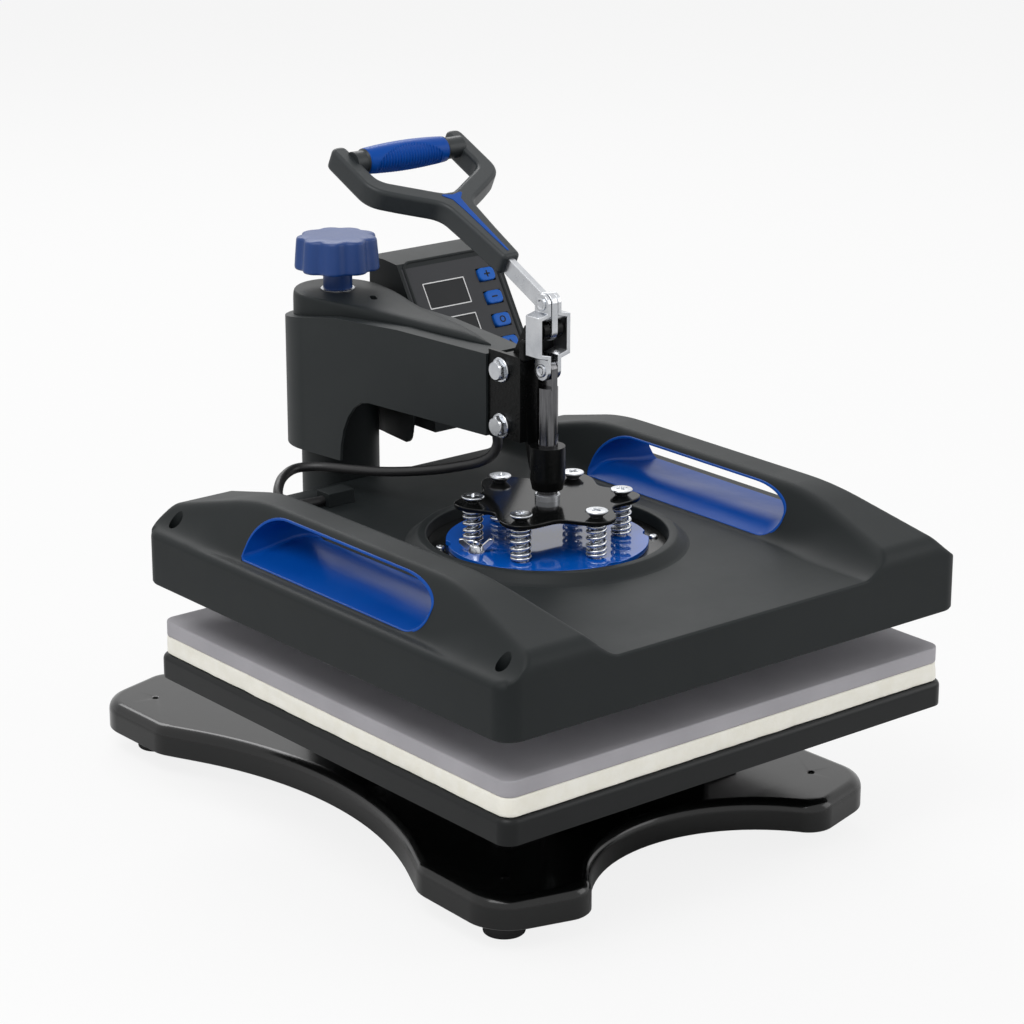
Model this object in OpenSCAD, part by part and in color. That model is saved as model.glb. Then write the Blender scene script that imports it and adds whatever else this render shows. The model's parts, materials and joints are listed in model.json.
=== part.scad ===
// Combo heat press: swing-away arm on a column, toggle lever, sprung heating platen
// over a padded table, with a control box on the arm. Millimetres, +Z up, front is -Y.
// The origin is on the floor, at the centre of the four bench bolt holes.

/* [Base] */
// Bench bolt holes, centre to centre, left to right
bolt_dx = 274; // [250:1:300]
// Bench bolt holes, centre to centre, front to back
bolt_dy = 408; // [385:1:430]
// Diameter of the bench bolt holes
bolt_hole = 4.5; // [4:0.1:6]
// Height of the top of the base above the floor
base_top = 38; // [32:1:48]
// Gap between the floor and the base's skirt
base_lift = 16.5; // [14:0.5:18]
// Thickness of the base's pressed plate
base_wall = 3; // [2:0.5:5]
// Rounding of the base's top edge
base_round = 8; // [4:1:12]
// Narrowest width of the base, across its waist
waist_w = 252; // [230:1:270]
// Shortest length of the base, along its middle
waist_d = 382; // [360:1:400]
// Radius of the hollow in each long side of the base
side_r = 290; // [270:5:320]
// Radius of the hollow in each short side of the base
end_r = 115; // [100:1:118]
// Diameter of the rubber feet
foot_d = 28; // [22:1:34]
// Height of the rubber feet
foot_h = 20; // [19:1:24]

/* [Table] */
// Height of the stand between the base and the tray
stand_h = 59; // [45:1:75]
// Width of the stand
stand_w = 150; // [120:1:180]
// Length of the stand
stand_d = 170; // [140:1:200]
// Thickness of the stand's steel
stand_wall = 4; // [3:0.5:6]
// Side of the square tray
tray_w = 385; // [380:1:390]
// Height of the tray
tray_h = 17.7; // [14:0.1:24]
// How far the foam lies inside the tray's edge
foam_step = 1.5; // [0:0.5:4]
// Thickness of the foam sheet
foam_h = 12.8; // [8:0.1:16]
// How far the pad lies inside the foam's edge
pad_step = 1; // [0:0.5:5]
// Thickness of the pressing pad
pad_h = 11; // [6:0.5:14]
// Corner radius of the pad, the foam and the tray
pad_corner = 10; // [6:1:16]

/* [Column] */
// How far the column stands behind the middle of the base
column_y = 155; // [140:1:165]
// Distance from the column to the plunger
reach = 237; // [232:1:260]
// Diameter of the column
column_d = 57; // [52:1:60]
// Diameter of the turning post inside the column
post_d = 44; // [38:1:46]
// Height of the top of the column above the floor
column_top = 262; // [240:1:266]
// Height of the post's top above the column
post_rise = 56; // [50:1:62]

/* [Platen] */
// Open gap between the pad and the housing
open_gap = 28; // [24:1:40]
// Side of the square housing
house_w = 395; // [393:1:420]
// Height of the housing's flat top above its lower edge
house_h = 38; // [34:1:46]
// Wall of the housing
house_wall = 3; // [2:0.5:4]
// Corner radius of the housing
house_corner = 14; // [10:1:20]
// Height of the hand rims above the housing's flat top
rim_h = 36; // [32:1:42]
// Height of the hand slots
slot_h = 30; // [24:1:31]
// Length of the hand slots
slot_l = 196; // [150:1:200]
// Radius of the round opening in the housing
well_r = 82; // [78:1:90]
// Height of the collar round that opening
well_rise = 7; // [4:0.5:10]
// Gap between the heating plate and the housing's skirt
plate_gap = 5.5; // [2:0.5:14]
// Thickness of the heating plate
plate_h = 12; // [8:0.5:14]
// Thickness of the insulation
felt_h = 7; // [4:0.5:8]
// Radius of the pressure disc
disc_r = 69; // [66:1:72]
// Thickness of the pressure disc
disc_h = 3.5; // [2:0.5:5]
// Radius of the circle of spring screws
screw_ring = 51; // [46:1:54]
// Diameter of the spring screws
screw_d = 8; // [6:0.5:9]
// Length of the springs between the disc and the spider
spring_l = 25; // [22:1:32]
// Wire of the springs
spring_wire = 1.9; // [1.6:0.1:2.2]
// Mean radius of the springs
spring_r = 6.1; // [5.8:0.1:6.8]
// Curls in each spring
spring_turns = 5.5; // [4.5:0.5:5.5]
// How far the platen can float up against the springs
float_up = 5; // [3:0.5:8]
// Thickness of the spider plate
spider_h = 3; // [2:0.5:5]

/* [Toggle] */
// Diameter of the plunger rod
rod_d = 14; // [12:0.5:16]
// Outer diameter of the plunger's guide collar
collar_d = 24; // [22:1:28]
// Height of the guide collar
collar_h = 30; // [24:1:32]
// Gap between the spider and the guide collar
collar_gap = 7.5; // [6:0.5:14]
// Height of the plunger's pin above the guide collar
pin_rise = 53; // [50:0.5:60]
// Crank between the lever's pivot and the link's pin
crank = 18; // [17:0.5:19]
// Length of the links between their pins
link_l = 45.5; // [44:0.5:50]
// Thickness of the lever plate
lever_t = 5; // [4:0.5:6]
// Thickness of the link plates
link_t = 3; // [2:0.5:4]
// Lean of the handle above the level, when open
handle_tilt = 26; // [20:0.5:32]
// Distance from the link's pin to the grip
grip_at = 168.5; // [160:0.5:180]
// Length of the blue grip
grip_l = 69; // [60:1:78]
// Diameter of the blue grip
grip_d = 21; // [19:0.5:24]
// Width of the handle across its fork
fork_w = 111; // [106:1:120]

/* [Arm] */
// Width of the arm at its front end
arm_front_w = 32; // [31:1:36]
// Radius of the arm's round back
arm_back_r = 38.5; // [37.5:0.5:41]
// Wall of the arm's shell
arm_wall = 2.2; // [1.6:0.1:3]
// Height of the steel beam inside the arm
beam_h = 53; // [48:1:54]
// Width of the steel beam inside the arm
beam_w = 21.6; // [20:0.2:22]
// Where the arm's shell ends in front, measured behind the plunger
arm_front = 46; // [42:1:50]
// How far the arm's back hangs down below the beam
skirt_drop = 51; // [40:1:54]
// Height of the top cover at its back, above the beam
cover_rise = 11; // [9:0.5:14]
// Thickness of the plates of the plunger's bracket
bracket_t = 3; // [2:0.5:4]
// How far the pressure screw can raise the arm
raise = 8; // [4:1:8]
// Diameter of the pressure screw
stem_d = 21; // [18:1:22]
// Diameter of the pressure knob
knob_d = 62; // [56:1:70]
// Height of the pressure knob
knob_h = 27.5; // [22:0.5:34]

/* [Control box] */
// Width of the control box
box_w = 92; // [88:1:110]
// Wall of the control box
box_wall = 2.5; // [2:0.1:3]
// Height of the front panel along its slope
panel_l = 81; // [78:1:90]
// Width of the display windows
display_w = 37; // [30:1:40]
// Height of the display windows
display_h = 19; // [14:1:21]
// Size of the square push buttons across
button_w = 15; // [12:0.5:17]
// Height of the push buttons along the panel
button_h = 10; // [8:0.5:12]
// Spacing of the push buttons
button_step = 18; // [16:0.5:19]
// Travel of the push buttons
button_travel = 1.2; // [0.8:0.1:1.5]
// Diameter of the heater cord
cord_d = 7; // [5:0.5:8]

/* [Hidden] */
$fn = 64;
// Clearance of seated pieces, of running fits, and of faces that pass each other
seat = 0.02;
run = 0.05;
pass = 0.4;
more = 1;

// Sides of the foam, the pad and the heating plate
foam_w = tray_w - 2 * foam_step;
pad_w = foam_w - 2 * pad_step;
plate_w = house_w - 2 * house_wall - 2 * plate_gap;
// Heights of the table, from the floor up
tray_z = base_top + stand_h;
foam_z = tray_z + tray_h;
pad_z = foam_z + foam_h;
pad_top = pad_z + pad_h;
// Heights of the open platen
stroke = 2 * crank;
house_z = pad_top + open_gap;
house_top = house_z + house_h;
press_clear = 0.3;
plate_z = pad_top + stroke + press_clear;
hub_z = plate_z + plate_h;
lid_z = house_top - house_wall;
flange_h = 3;
flange_z = lid_z - 1.5;
disc_z = flange_z + flange_h;
disc_top = disc_z + disc_h;
hub_r = screw_ring + 9;
spider_z = disc_top + spring_l;
spider_top = spider_z + spider_h;
// Heights of the toggle and the arm
collar_z = spider_top + collar_gap;
collar_top = collar_z + collar_h;
pin_b = collar_top + pin_rise;
pin_a = pin_b + link_l;
pivot_z = pin_a - crank;
beam_z = collar_top + 1.5;
beam_top = beam_z + beam_h;
platen_y = column_y - reach;
// Where the column stands, measured from the plunger
back = reach;
post_top = column_top + post_rise;
washer_h = 3;
stem_z = post_top + washer_h;

// Colours
black = [0.13, 0.13, 0.14];
gloss_black = [0.05, 0.05, 0.06];
blue = [0.03, 0.2, 0.55];
steel = [0.75, 0.76, 0.78];
zinc = [0.8, 0.82, 0.84];
grey = [0.56, 0.55, 0.58];
cream = [0.92, 0.9, 0.82];

// Frames of the assembly
module at_platen() translate([0, platen_y, 0]) children();
module at_column() translate([0, column_y, 0]) children();
module corners(dx, dy) {
    for (sx = [-1, 1])
        for (sy = [-1, 1])
            translate([sx * dx / 2, sy * dy / 2, 0]) children();
}
module ring_of(n, r, start = 30) {
    for (i = [0 : n - 1])
        rotate(start + 360 * i / n) translate([r, 0, 0]) children();
}

// Plain shapes
module round_square(w, r) {
    square([w - 2 * r, w], center = true);
    square([w, w - 2 * r], center = true);
    corners(w - 2 * r, w - 2 * r) circle(r);
}
module slab(w, r, z, h) translate([0, 0, z]) linear_extrude(h) round_square(w, r);
// A profile in Y and Z, drawn out along X
module along_x(x0, x1) translate([x0, 0, 0]) rotate([90, 0, 90]) linear_extrude(x1 - x0) children();
// A profile in X and Z, drawn out along Y
module along_y(y0, y1) translate([0, y1, 0]) rotate([90, 0, 0]) linear_extrude(y1 - y0) children();
module rod_x(r, x0, x1) translate([x0, 0, 0]) rotate([0, 90, 0]) cylinder(r = r, h = x1 - x0);
module hex(across, h) cylinder(d = across / cos(30), h = h, $fn = 6);
module hex_bolt(d, across, head, length) {
    translate([0, 0, -head]) hex(across, head);
    translate([0, 0, -more / 2]) cylinder(d = d, h = length + more / 2);
}

// Points of an arc, and a hollow belt through rings of the same number of points.
// The rings wind round the Z axis, and the last one is joined to the first.
function arc(c, r, a0, a1, n) = [for (i = [0 : n]) c + r * [cos(a0 + (a1 - a0) * i / n), sin(a0 + (a1 - a0) * i / n)]];
function turn(p) = atan2(p[1], p[0]);
module belt(rings) {
    n = len(rings[0]);
    m = len(rings);
    points = [for (ring = rings) each ring];
    sides = [for (j = [0 : m - 1]) for (i = [0 : n - 1])
        let (a = j * n + i, b = j * n + (i + 1) % n, c = (j + 1) % m * n + i, d = (j + 1) % m * n + (i + 1) % n)
            each [[a, d, b], [a, c, d]]];
    polyhedron(points, sides);
}

// Base: a plate with four legs, between hollow sides that are arcs.
// Each leg ends in three rounded lobes, placed from its bolt hole.
lobe_side = [bolt_dx / 2 + 3, bolt_dy / 2 - 44];
lobe_tip = [bolt_dx / 2, bolt_dy / 2 + 4];
lobe_end = [bolt_dx / 2 - 27, bolt_dy / 2 + 24];
lobe_side_r = 28;
lobe_tip_r = 32;
lobe_end_r = 20;
side_c = [waist_w / 2 + side_r, 0];
end_c = [0, waist_d / 2 + end_r];
function inner_tangent(a, ra, b, rb, way) = turn(b - a) + way * acos(min(1, (ra + rb) / norm(b - a)));
function outer_tangent(a, ra, b, rb) = turn(b - a) - acos((ra - rb) / norm(b - a));
side_turn = inner_tangent(side_c, side_r, lobe_side, lobe_side_r, 1);
end_turn = inner_tangent(lobe_end, lobe_end_r, end_c, end_r, -1);
tip_turn = outer_tangent(lobe_side, lobe_side_r, lobe_tip, lobe_tip_r);
end_start = outer_tangent(lobe_tip, lobe_tip_r, lobe_end, lobe_end_r);
function base_quarter(d) = concat(
    arc(side_c, side_r + d, 180, side_turn, 4),
    arc(lobe_side, lobe_side_r - d, side_turn - 180, tip_turn, 3),
    arc(lobe_tip, lobe_tip_r - d, tip_turn, end_start, 7),
    arc(lobe_end, lobe_end_r - d, end_start, end_turn, 5),
    arc(end_c, end_r + d, end_turn + 180, 270, 4));
function drop_first(p) = [for (i = [1 : len(p) - 1]) p[i]];
function drop_last(p) = [for (i = [0 : len(p) - 2]) p[i]];
function back_over(p) = [for (i = [len(p) - 1 : -1 : 0]) p[i]];
function base_outline(d) = let (
    q = base_quarter(d),
    right = concat(back_over([for (p = drop_first(q)) [p[0], -p[1]]]), q),
    left = [for (p = back_over(right)) [-p[0], p[1]]])
    concat(drop_last(right), drop_last(left));
function lift(ring, z) = [for (p = ring) [p[0], p[1], z]];

// Skirt and rounded edge of the base, as a section of even thickness carried round the outline
base_under = base_round - base_wall;
base_section = concat(
    [[0, base_lift]],
    [for (t = [0 : 30 : 90]) [base_round * (1 - cos(t)), base_top - base_round * (1 - sin(t))]],
    [for (t = [90, 45, 0]) [base_round - base_under * cos(t), base_top - base_round + base_under * sin(t)]],
    [[base_wall, base_lift]]);
module base_plate() color(gloss_black) difference() {
    union() {
        belt([for (p = base_section) lift(base_outline(p[0]), p[1])]);
        translate([0, 0, base_top - base_wall]) linear_extrude(base_wall) polygon(base_outline(base_round));
        corners(bolt_dx, bolt_dy)
            translate([0, 0, foot_h]) cylinder(d = foot_d, h = base_top - base_wall / 2 - foot_h);
    }
    corners(bolt_dx, bolt_dy) cylinder(d = bolt_hole, h = base_top + more);
    at_stand_bolts() cylinder(d = stand_bolt + 2 * pass, h = base_top + more);
    at_column() corners(flange_step, flange_step) cylinder(d = stand_bolt + 2 * pass, h = base_top + more);
}
module feet() color([0.08, 0.08, 0.08]) corners(bolt_dx, bolt_dy) difference() {
    cylinder(d = foot_d, h = foot_h);
    translate([0, 0, -more]) cylinder(d = bolt_hole, h = foot_h + 2 * more);
}

// Table: an inverted channel carries a pressed tray, with the foam and the pad on it
stand_bolt = 8;
stand_bolt_head = 13;
stand_foot = 26;
module at_stand_bolts() at_platen() corners(stand_w + stand_foot, stand_d - 50) children();
module at_tray_bolts() at_platen() corners(stand_w - 50, stand_d - 50) children();
module stand() color(gloss_black) difference() {
    at_platen() {
        along_y(-stand_d / 2, stand_d / 2) polygon([
            [-stand_w / 2, tray_z], [stand_w / 2, tray_z],
            [stand_w / 2, base_top + stand_wall],
            [stand_w / 2 + stand_foot, base_top + stand_wall], [stand_w / 2 + stand_foot, base_top],
            [stand_w / 2 - stand_wall, base_top], [stand_w / 2 - stand_wall, tray_z - stand_wall],
            [-stand_w / 2 + stand_wall, tray_z - stand_wall], [-stand_w / 2 + stand_wall, base_top],
            [-stand_w / 2 - stand_foot, base_top], [-stand_w / 2 - stand_foot, base_top + stand_wall],
            [-stand_w / 2, base_top + stand_wall]]);
    }
    at_stand_bolts() translate([0, 0, base_top - more])
        cylinder(d = stand_bolt + 2 * pass, h = stand_wall + 2 * more);
    at_tray_bolts() translate([0, 0, tray_z - stand_wall - more])
        cylinder(d = stand_bolt + 2 * pass, h = stand_wall + 2 * more);
}
module down_bolt(z, length) translate([0, 0, z]) mirror([0, 0, 1])
    hex_bolt(stand_bolt, stand_bolt_head, 5.3, length);
module stand_bolts() color(zinc) {
    at_stand_bolts() down_bolt(base_top + stand_wall, stand_wall + base_wall + 8);
    at_tray_bolts() translate([0, 0, tray_z - stand_wall])
        hex_bolt(stand_bolt, stand_bolt_head, 5.3, stand_wall + tray_h - tray_wall);
}
tray_wall = 3;
module tray() color(gloss_black) difference() {
    at_platen() difference() {
        slab(tray_w, pad_corner, tray_z, tray_h);
        difference() {
            slab(tray_w - 2 * tray_wall, pad_corner - tray_wall, tray_z - more, tray_h - tray_wall + more);
            translate([-stand_w / 2, -stand_d / 2, tray_z])
                cube([stand_w, stand_d, tray_h]);
        }
    }
    at_tray_bolts() translate([0, 0, tray_z - more])
        cylinder(d = stand_bolt + 2 * seat, h = tray_h - tray_wall + more + seat);
}
module foam_sheet() color(cream) at_platen() slab(foam_w, pad_corner, foam_z, foam_h);
module press_pad() color(grey) at_platen() slab(pad_w, pad_corner, pad_z, pad_h);

// Column: a flanged tube on the base, with the post that the arm turns on
flange_w = 78;
flange_step = 54;
flange_t = 8;
post_in = 120;
module column() color(black) at_column() difference() {
    union() {
        translate([0, 0, base_top]) cylinder(d = column_d, h = column_top - base_top);
        slab(flange_w, 10, base_top, flange_t);
    }
    translate([0, 0, base_top - more]) cylinder(d = post_d, h = column_top - base_top + 2 * more);
    corners(flange_step, flange_step) translate([0, 0, base_top - more])
        cylinder(d = stand_bolt + 2 * pass, h = flange_t + 2 * more);
}
module column_bolts() color(zinc) at_column() corners(flange_step, flange_step)
    down_bolt(base_top + flange_t, flange_t + base_wall + 8);
module post() color(steel) at_column() translate([0, 0, column_top - post_in])
    cylinder(d = post_d - 2 * seat, h = post_in + post_rise);
module thrust_washer() color("goldenrod") at_column() translate([0, 0, post_top])
    cylinder(d = post_d - 6, h = washer_h);

// Arm: a steel beam welded to the sleeve that slides and turns on the post
sleeve_wall = 5;
sleeve_r = post_d / 2 + run + sleeve_wall;
bolt_y = 32;
bolt_low = beam_z + 8;
bolt_high = beam_top - 6;
bracket_bolt = 8;
module at_bracket_bolts() at_platen() for (z = [bolt_low, bolt_high]) translate([0, bolt_y, z]) children();
bracket_y = 12;
bracket_w = beam_w + 2 * bracket_t + 2 * pass;
beam_wall = 3;
module arm_beam() color(gloss_black) difference() {
    union() {
        at_platen() translate([-beam_w / 2, bracket_y + bracket_t + pass, beam_z])
            cube([beam_w, back - bracket_y - bracket_t - pass - post_d / 2, beam_h]);
        at_column() translate([0, 0, beam_z]) cylinder(r = sleeve_r, h = beam_h);
    }
    at_platen() translate([-beam_w / 2 + beam_wall, bracket_y + bracket_t, beam_z + beam_wall])
        cube([beam_w - 2 * beam_wall, back - bracket_y - bracket_t - sleeve_r, beam_h - 2 * beam_wall]);
    at_column() translate([0, 0, beam_z - more]) cylinder(d = post_d + 2 * run, h = beam_h + 2 * more);
    at_bracket_bolts() rod_x(bracket_bolt / 2 + seat, -beam_w, beam_w);
}

// Plan and side view of the arm's shell, both measured from the plunger
arch_y = back - 75;
arch_w = 30;
arch_drop = 50;
shell_low = beam_z - arm_wall;
shell_front_z = beam_top + arm_wall + 0.3;
shell_mid_z = beam_top + 3.5;
shell_back_z = beam_top - 12;
skirt_z = beam_z - skirt_drop;
module arm_plan(inset, back_r) {
    half = arm_front_w / 2 - inset;
    r = back_r - inset;
    polygon([[-half, arm_front - more], [half, arm_front - more], [r, back], [-r, back]]);
    translate([0, back]) circle(r);
}
arm_back = back + arm_back_r + more;
function shell_top_line(up) = [
    [arm_back, shell_back_z + up], [back - 40, shell_mid_z - 3 + up], [back - 104, shell_mid_z + up],
    [arm_front, shell_front_z + up]];
module shell_side() polygon(concat(
    [[arm_front, shell_low], [arch_y, shell_low]],
    [for (t = [15 : 15 : 75]) [arch_y + arch_w * sin(t), shell_low - arch_drop * (1 - cos(t))]],
    [[arch_y + arch_w, skirt_z], [arm_back, skirt_z]],
    shell_top_line(0)));
module shell_inside() polygon(concat(
    [[arm_front - 2 * more, beam_z], [arch_y - arm_wall, beam_z], [arch_y - arm_wall, skirt_z - more],
     [arm_back, skirt_z - more]],
    [for (p = shell_top_line(-arm_wall)) p[0] == arm_front ? [arm_front - 2 * more, p[1]] : p]));
module arm_solid(inset, back_r, lowest, highest) intersection() {
    translate([0, 0, lowest]) linear_extrude(highest - lowest) arm_plan(inset, back_r);
    along_x(-arm_back_r - more, arm_back_r + more) children();
}
gland_y = 54;
// Length of the slot in the shell's top where the beam's top comes through, under the cover
beam_slot = 80;
module arm_shell() color(black) difference() {
    at_platen() difference() {
        arm_solid(0, arm_back_r, skirt_z - more, beam_top + 30) shell_side();
        arm_solid(arm_wall, arm_back_r, skirt_z - 2 * more, beam_top + 30) shell_inside();
        translate([0, gland_y, shell_low - more]) cylinder(d = gland_d, h = arm_wall + 2 * more);
    }
    at_column() translate([0, 0, shell_back_z - 20]) cylinder(r = sleeve_r + pass, h = 60);
    at_platen() translate([-beam_w / 2 - pass, back - beam_slot, beam_top - 20]) cube([beam_w + 2 * pass, beam_slot, 22.4]);
}
cover_back_r = arm_back_r - 9;
cover_z = beam_top + cover_rise;
module cover_side(wall) polygon(concat(
    back_over(shell_top_line(0)),
    wall == 0
        ? [[arm_back, cover_z - 1], [back - 38, cover_z], [back - 82, shell_mid_z + 6], [arm_front, shell_front_z + 3]]
        : [[arm_back, cover_z - 1 - wall], [back - 38, cover_z - wall], [back - 82, shell_mid_z + 6 - wall],
           [arm_front + 8, shell_front_z + 0.2]]));
module arm_cover() color(black) difference() {
    at_platen() difference() {
        arm_solid(0, cover_back_r, beam_top - 30, beam_top + 60) cover_side(0);
        arm_solid(arm_wall, cover_back_r, beam_top - 30, beam_top + 60) cover_side(arm_wall);
        translate([6, back - 40, cover_z - 5]) rotate(62) linear_extrude(10) square([12, 4], center = true);
    }
    at_column() translate([0, 0, beam_top]) cylinder(d = nut_d + 2 * seat, h = 40);
}

// Bracket of the plunger: side plates clasp the beam, a collar guides the rod
// and two ears carry the lever's pivot
ear_in = lever_t / 2 + pass;
ear_t = 5;
ear_r = 6.5;
bracket_top = beam_top + 6;
module ear_side() {
    translate([0, pivot_z]) circle(ear_r);
    polygon([[0, pivot_z + ear_r], [15, pivot_z + 1], [27, bracket_top], [27, beam_top + pass],
        [bracket_y + bracket_t, beam_top + pass], [bracket_y + 1, bracket_top],
        [bracket_y - 2, pivot_z - ear_r - 2], [0, pivot_z - ear_r]]);
}
module plunger_guide() color(gloss_black) at_platen() difference() {
    union() {
        difference() {
            translate([-bracket_w / 2, bracket_y, beam_z]) cube([bracket_w, arm_front - bracket_y - pass, bracket_top - beam_z]);
            translate([-bracket_w / 2 + bracket_t, bracket_y + bracket_t, beam_z - more])
                cube([bracket_w - 2 * bracket_t, arm_front, bracket_top - beam_z + 2 * more]);
        }
        translate([-bracket_w / 2, bracket_y, bracket_top - 4]) cube([bracket_w, 18, 4]);
        for (side = [0, 1]) mirror([side, 0, 0]) along_x(ear_in, ear_in + ear_t) ear_side();
        translate([0, 0, collar_z]) cylinder(d1 = collar_d - 3, d2 = collar_d, h = 7);
        translate([0, 0, collar_z + 7]) cylinder(d = collar_d, h = collar_h - 7);
        along_x(-collar_d / 2 + 3, collar_d / 2 - 3) polygon([
            [rod_d / 2, collar_z + 9], [bracket_y + bracket_t, beam_z + 6],
            [bracket_y + bracket_t, beam_z + 26], [bracket_y, beam_z + 26], [bracket_y - 2, collar_top],
            [rod_d / 2, collar_top]]);
    }
    translate([0, 0, collar_z - more]) cylinder(d = rod_d + 2 * run, h = collar_h + 2 * more);
    translate([0, 0, pivot_z]) rod_x(pivot_d / 2 + seat, -bracket_w, bracket_w);
    for (z = [bolt_low, bolt_high]) translate([0, bolt_y, z]) rod_x(bracket_bolt / 2 + seat, -bracket_w, bracket_w);
}
pivot_d = 8;
module pivot_pin() color(steel) at_platen() translate([0, 0, pivot_z])
    rod_x(pivot_d / 2, -ear_in - ear_t - 0.6, ear_in + ear_t + 0.6);
bolt_across = 14;
module guide_bolts() color(zinc) at_bracket_bolts() translate([-bracket_w / 2, 0, 0])
    rotate([0, 90, 0]) hex_bolt(bracket_bolt, bolt_across, 6, bracket_w + 8);
module guide_nuts() color(zinc) at_bracket_bolts() difference() {
    translate([bracket_w / 2, 0, 0]) rotate([0, 90, 0]) hex(bolt_across, 6.5);
    rod_x(bracket_bolt / 2 + seat, 0, bracket_w);
}

// Pressure screw: it turns in the arm's nut and bears on the post
nut_d = stem_d + 5;
knob_lift = raise + 6;
knob_z = cover_z + knob_lift - 3;
module screw_nut() color(zinc) at_column() difference() {
    union() {
        translate([0, 0, beam_top]) cylinder(d = nut_d, h = cover_z + 1 - beam_top);
        translate([0, 0, beam_top]) cylinder(r = cover_back_r - arm_wall - 1, h = 4);
    }
    translate([0, 0, beam_top - more]) cylinder(d = stem_d + 0.6, h = cover_z - beam_top + 3 * more);
}
module pressure_screw() color(zinc) at_column() translate([0, 0, stem_z + run])
    cylinder(d = stem_d - 1, h = knob_z - 8 - stem_z - run);
knob_lobes = 8;
module knob_plan(r) difference() {
    circle(r);
    ring_of(knob_lobes, r + 7, 22.5) circle(10.5);
}
module pressure_knob() color(blue) at_column() {
    translate([0, 0, knob_z - 8]) cylinder(d = stem_d, h = 8);
    translate([0, 0, knob_z]) linear_extrude(knob_h - 4) knob_plan(knob_d / 2);
    translate([0, 0, knob_z + knob_h - 4]) linear_extrude(2.5) knob_plan(knob_d / 2 - 1.5);
    translate([0, 0, knob_z + knob_h - 1.5]) cylinder(d1 = knob_d - 14, d2 = knob_d - 22, h = 1.5);
}

// Control box: on the right of the arm, with a sloping panel on its front.
// The frame of the panel has its origin at the panel's middle and +Z out of it.
box_left = arm_back_r + 3.5;
box_right = box_left + box_w;
box_mid = (box_left + box_right) / 2;
panel_tilt = 59;
panel_top = [back - 15, beam_top + 23];
panel_low = panel_top - panel_l * [cos(panel_tilt), sin(panel_tilt)];
panel_mid = (panel_top + panel_low) / 2;
box_floor = beam_z - 40.5;
box_rear = back + 18;
box_lid = panel_top[1] + 1.5;
module box_side(inset) polygon([
    [box_rear + (inset > 0 ? more : 0), box_lid - inset], [panel_top[0] + 15, box_lid - inset],
    panel_top + inset * [0.6, -1], panel_low + inset * [1, -0.3],
    [panel_low[0] - 3 + inset, box_floor + inset], [box_rear + (inset > 0 ? more : 0), box_floor + inset]]);
module at_panel() at_platen() translate([box_mid, panel_mid[0], panel_mid[1]]) rotate([panel_tilt, 0, 0]) children();
panel_t = 1.5;
display_x = -10.5;
button_x = box_w / 2 - 17;
button_top = 21.5;
display_y = 13;
display_step = 28;
board_gap = 6;
board_t = 1.6;
board_w = box_w - 12;
board_h = panel_l - 12;
board_face = -panel_t - box_wall - board_gap;
module at_displays() at_panel() for (i = [0, 1])
    translate([display_x, display_y - i * display_step, 0]) children();
module at_button(i) at_panel() translate([button_x, button_top - i * button_step, 0]) children();
module block(w, h, z0, z1) translate([-w / 2, -h / 2, z0]) cube([w, h, z1 - z0]);
module panel_windows(z0, z1) {
    at_displays() block(display_w + 2 * pass, display_h + 2 * pass, z0, z1);
    for (i = [0 : 3]) at_button(i) block(button_w + 2 * pass, button_h + 2 * pass, z0, z1);
}
saddle_h = 70;
module control_box() color(black) difference() {
    union() {
        at_platen() difference() {
            along_x(box_left, box_right) box_side(0);
            along_x(box_left + box_wall, box_right - box_wall) box_side(box_wall);
        }
        at_platen() translate([box_left - 9, back - 24, box_floor + 12])
            cube([9 + box_wall, 40, saddle_h]);
        at_panel() corners(board_w - 10, board_h - 10)
            translate([0, 0, board_face]) cylinder(d = 6, h = board_gap + box_wall - 0.5);
    }
    at_platen() translate([0, 0, box_floor]) linear_extrude(saddle_h + 30) arm_plan(-run, arm_back_r);
    at_panel() block(box_w - 2 * box_wall, panel_l - 8, -panel_t, more);
    panel_windows(-panel_t - 2 * box_wall, more);
}
module front_panel() color([0.16, 0.16, 0.17]) difference() {
    at_panel() block(box_w - 2 * box_wall - 2 * seat, panel_l - 8 - 2 * seat, -panel_t, 0);
    panel_windows(-panel_t - more, more);
}
module displays() color([0.1, 0.1, 0.1]) at_displays() block(display_w, display_h, board_face, -0.3);
module circuit_board() color("darkgreen") at_panel() block(board_w, board_h, board_face - board_t, board_face);
module push_button(i) color(blue) at_button(i) {
    block(button_w, button_h, -panel_t - box_wall, 2);
    block(4, 4, board_face + button_travel + 0.3, -panel_t - box_wall);
}
module button_up() push_button(0);
module button_down() push_button(1);
module button_set() push_button(2);
module button_count() push_button(3);

// Back of the control box, with the mains inlet, the fuse and the power switch
back_t = 2.5;
box_tall = box_lid - box_floor;
inlet = [27.5, 20];
switch_hole = [28, 13];
fuse_d = 13;
module at_box_back() at_platen() translate([box_mid, box_rear, (box_lid + box_floor) / 2]) rotate([-90, 0, 0]) children();
inlet_y = 34;
switch_y = -2;
fuse_y = -34;
module at_box_screws() at_box_back() corners(box_w - 12, box_tall - 12) children();
module box_back() color(black) difference() {
    at_box_back() block(box_w - 2 * box_wall - 2 * pass, box_tall - 2 * box_wall - 2 * pass, -back_t, 0);
    at_box_back() {
        translate([0, inlet_y, 0]) block(inlet[0] + 2 * seat, inlet[1] + 2 * seat, -back_t - more, more);
        translate([0, switch_y, 0]) block(switch_hole[0] + 2 * seat, switch_hole[1] + 2 * seat, -back_t - more, more);
        translate([0, fuse_y, -back_t - more]) cylinder(d = fuse_d + 2 * seat, h = back_t + 2 * more);
    }
    at_box_screws() translate([0, 0, -back_t - more]) cylinder(d = 3 + 2 * seat, h = back_t + 2 * more);
}
module box_screws() color(zinc) at_box_screws() {
    cylinder(d = 6, h = 1.8);
    translate([0, 0, -10]) cylinder(d = 3, h = 10 + 0.5);
}
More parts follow.
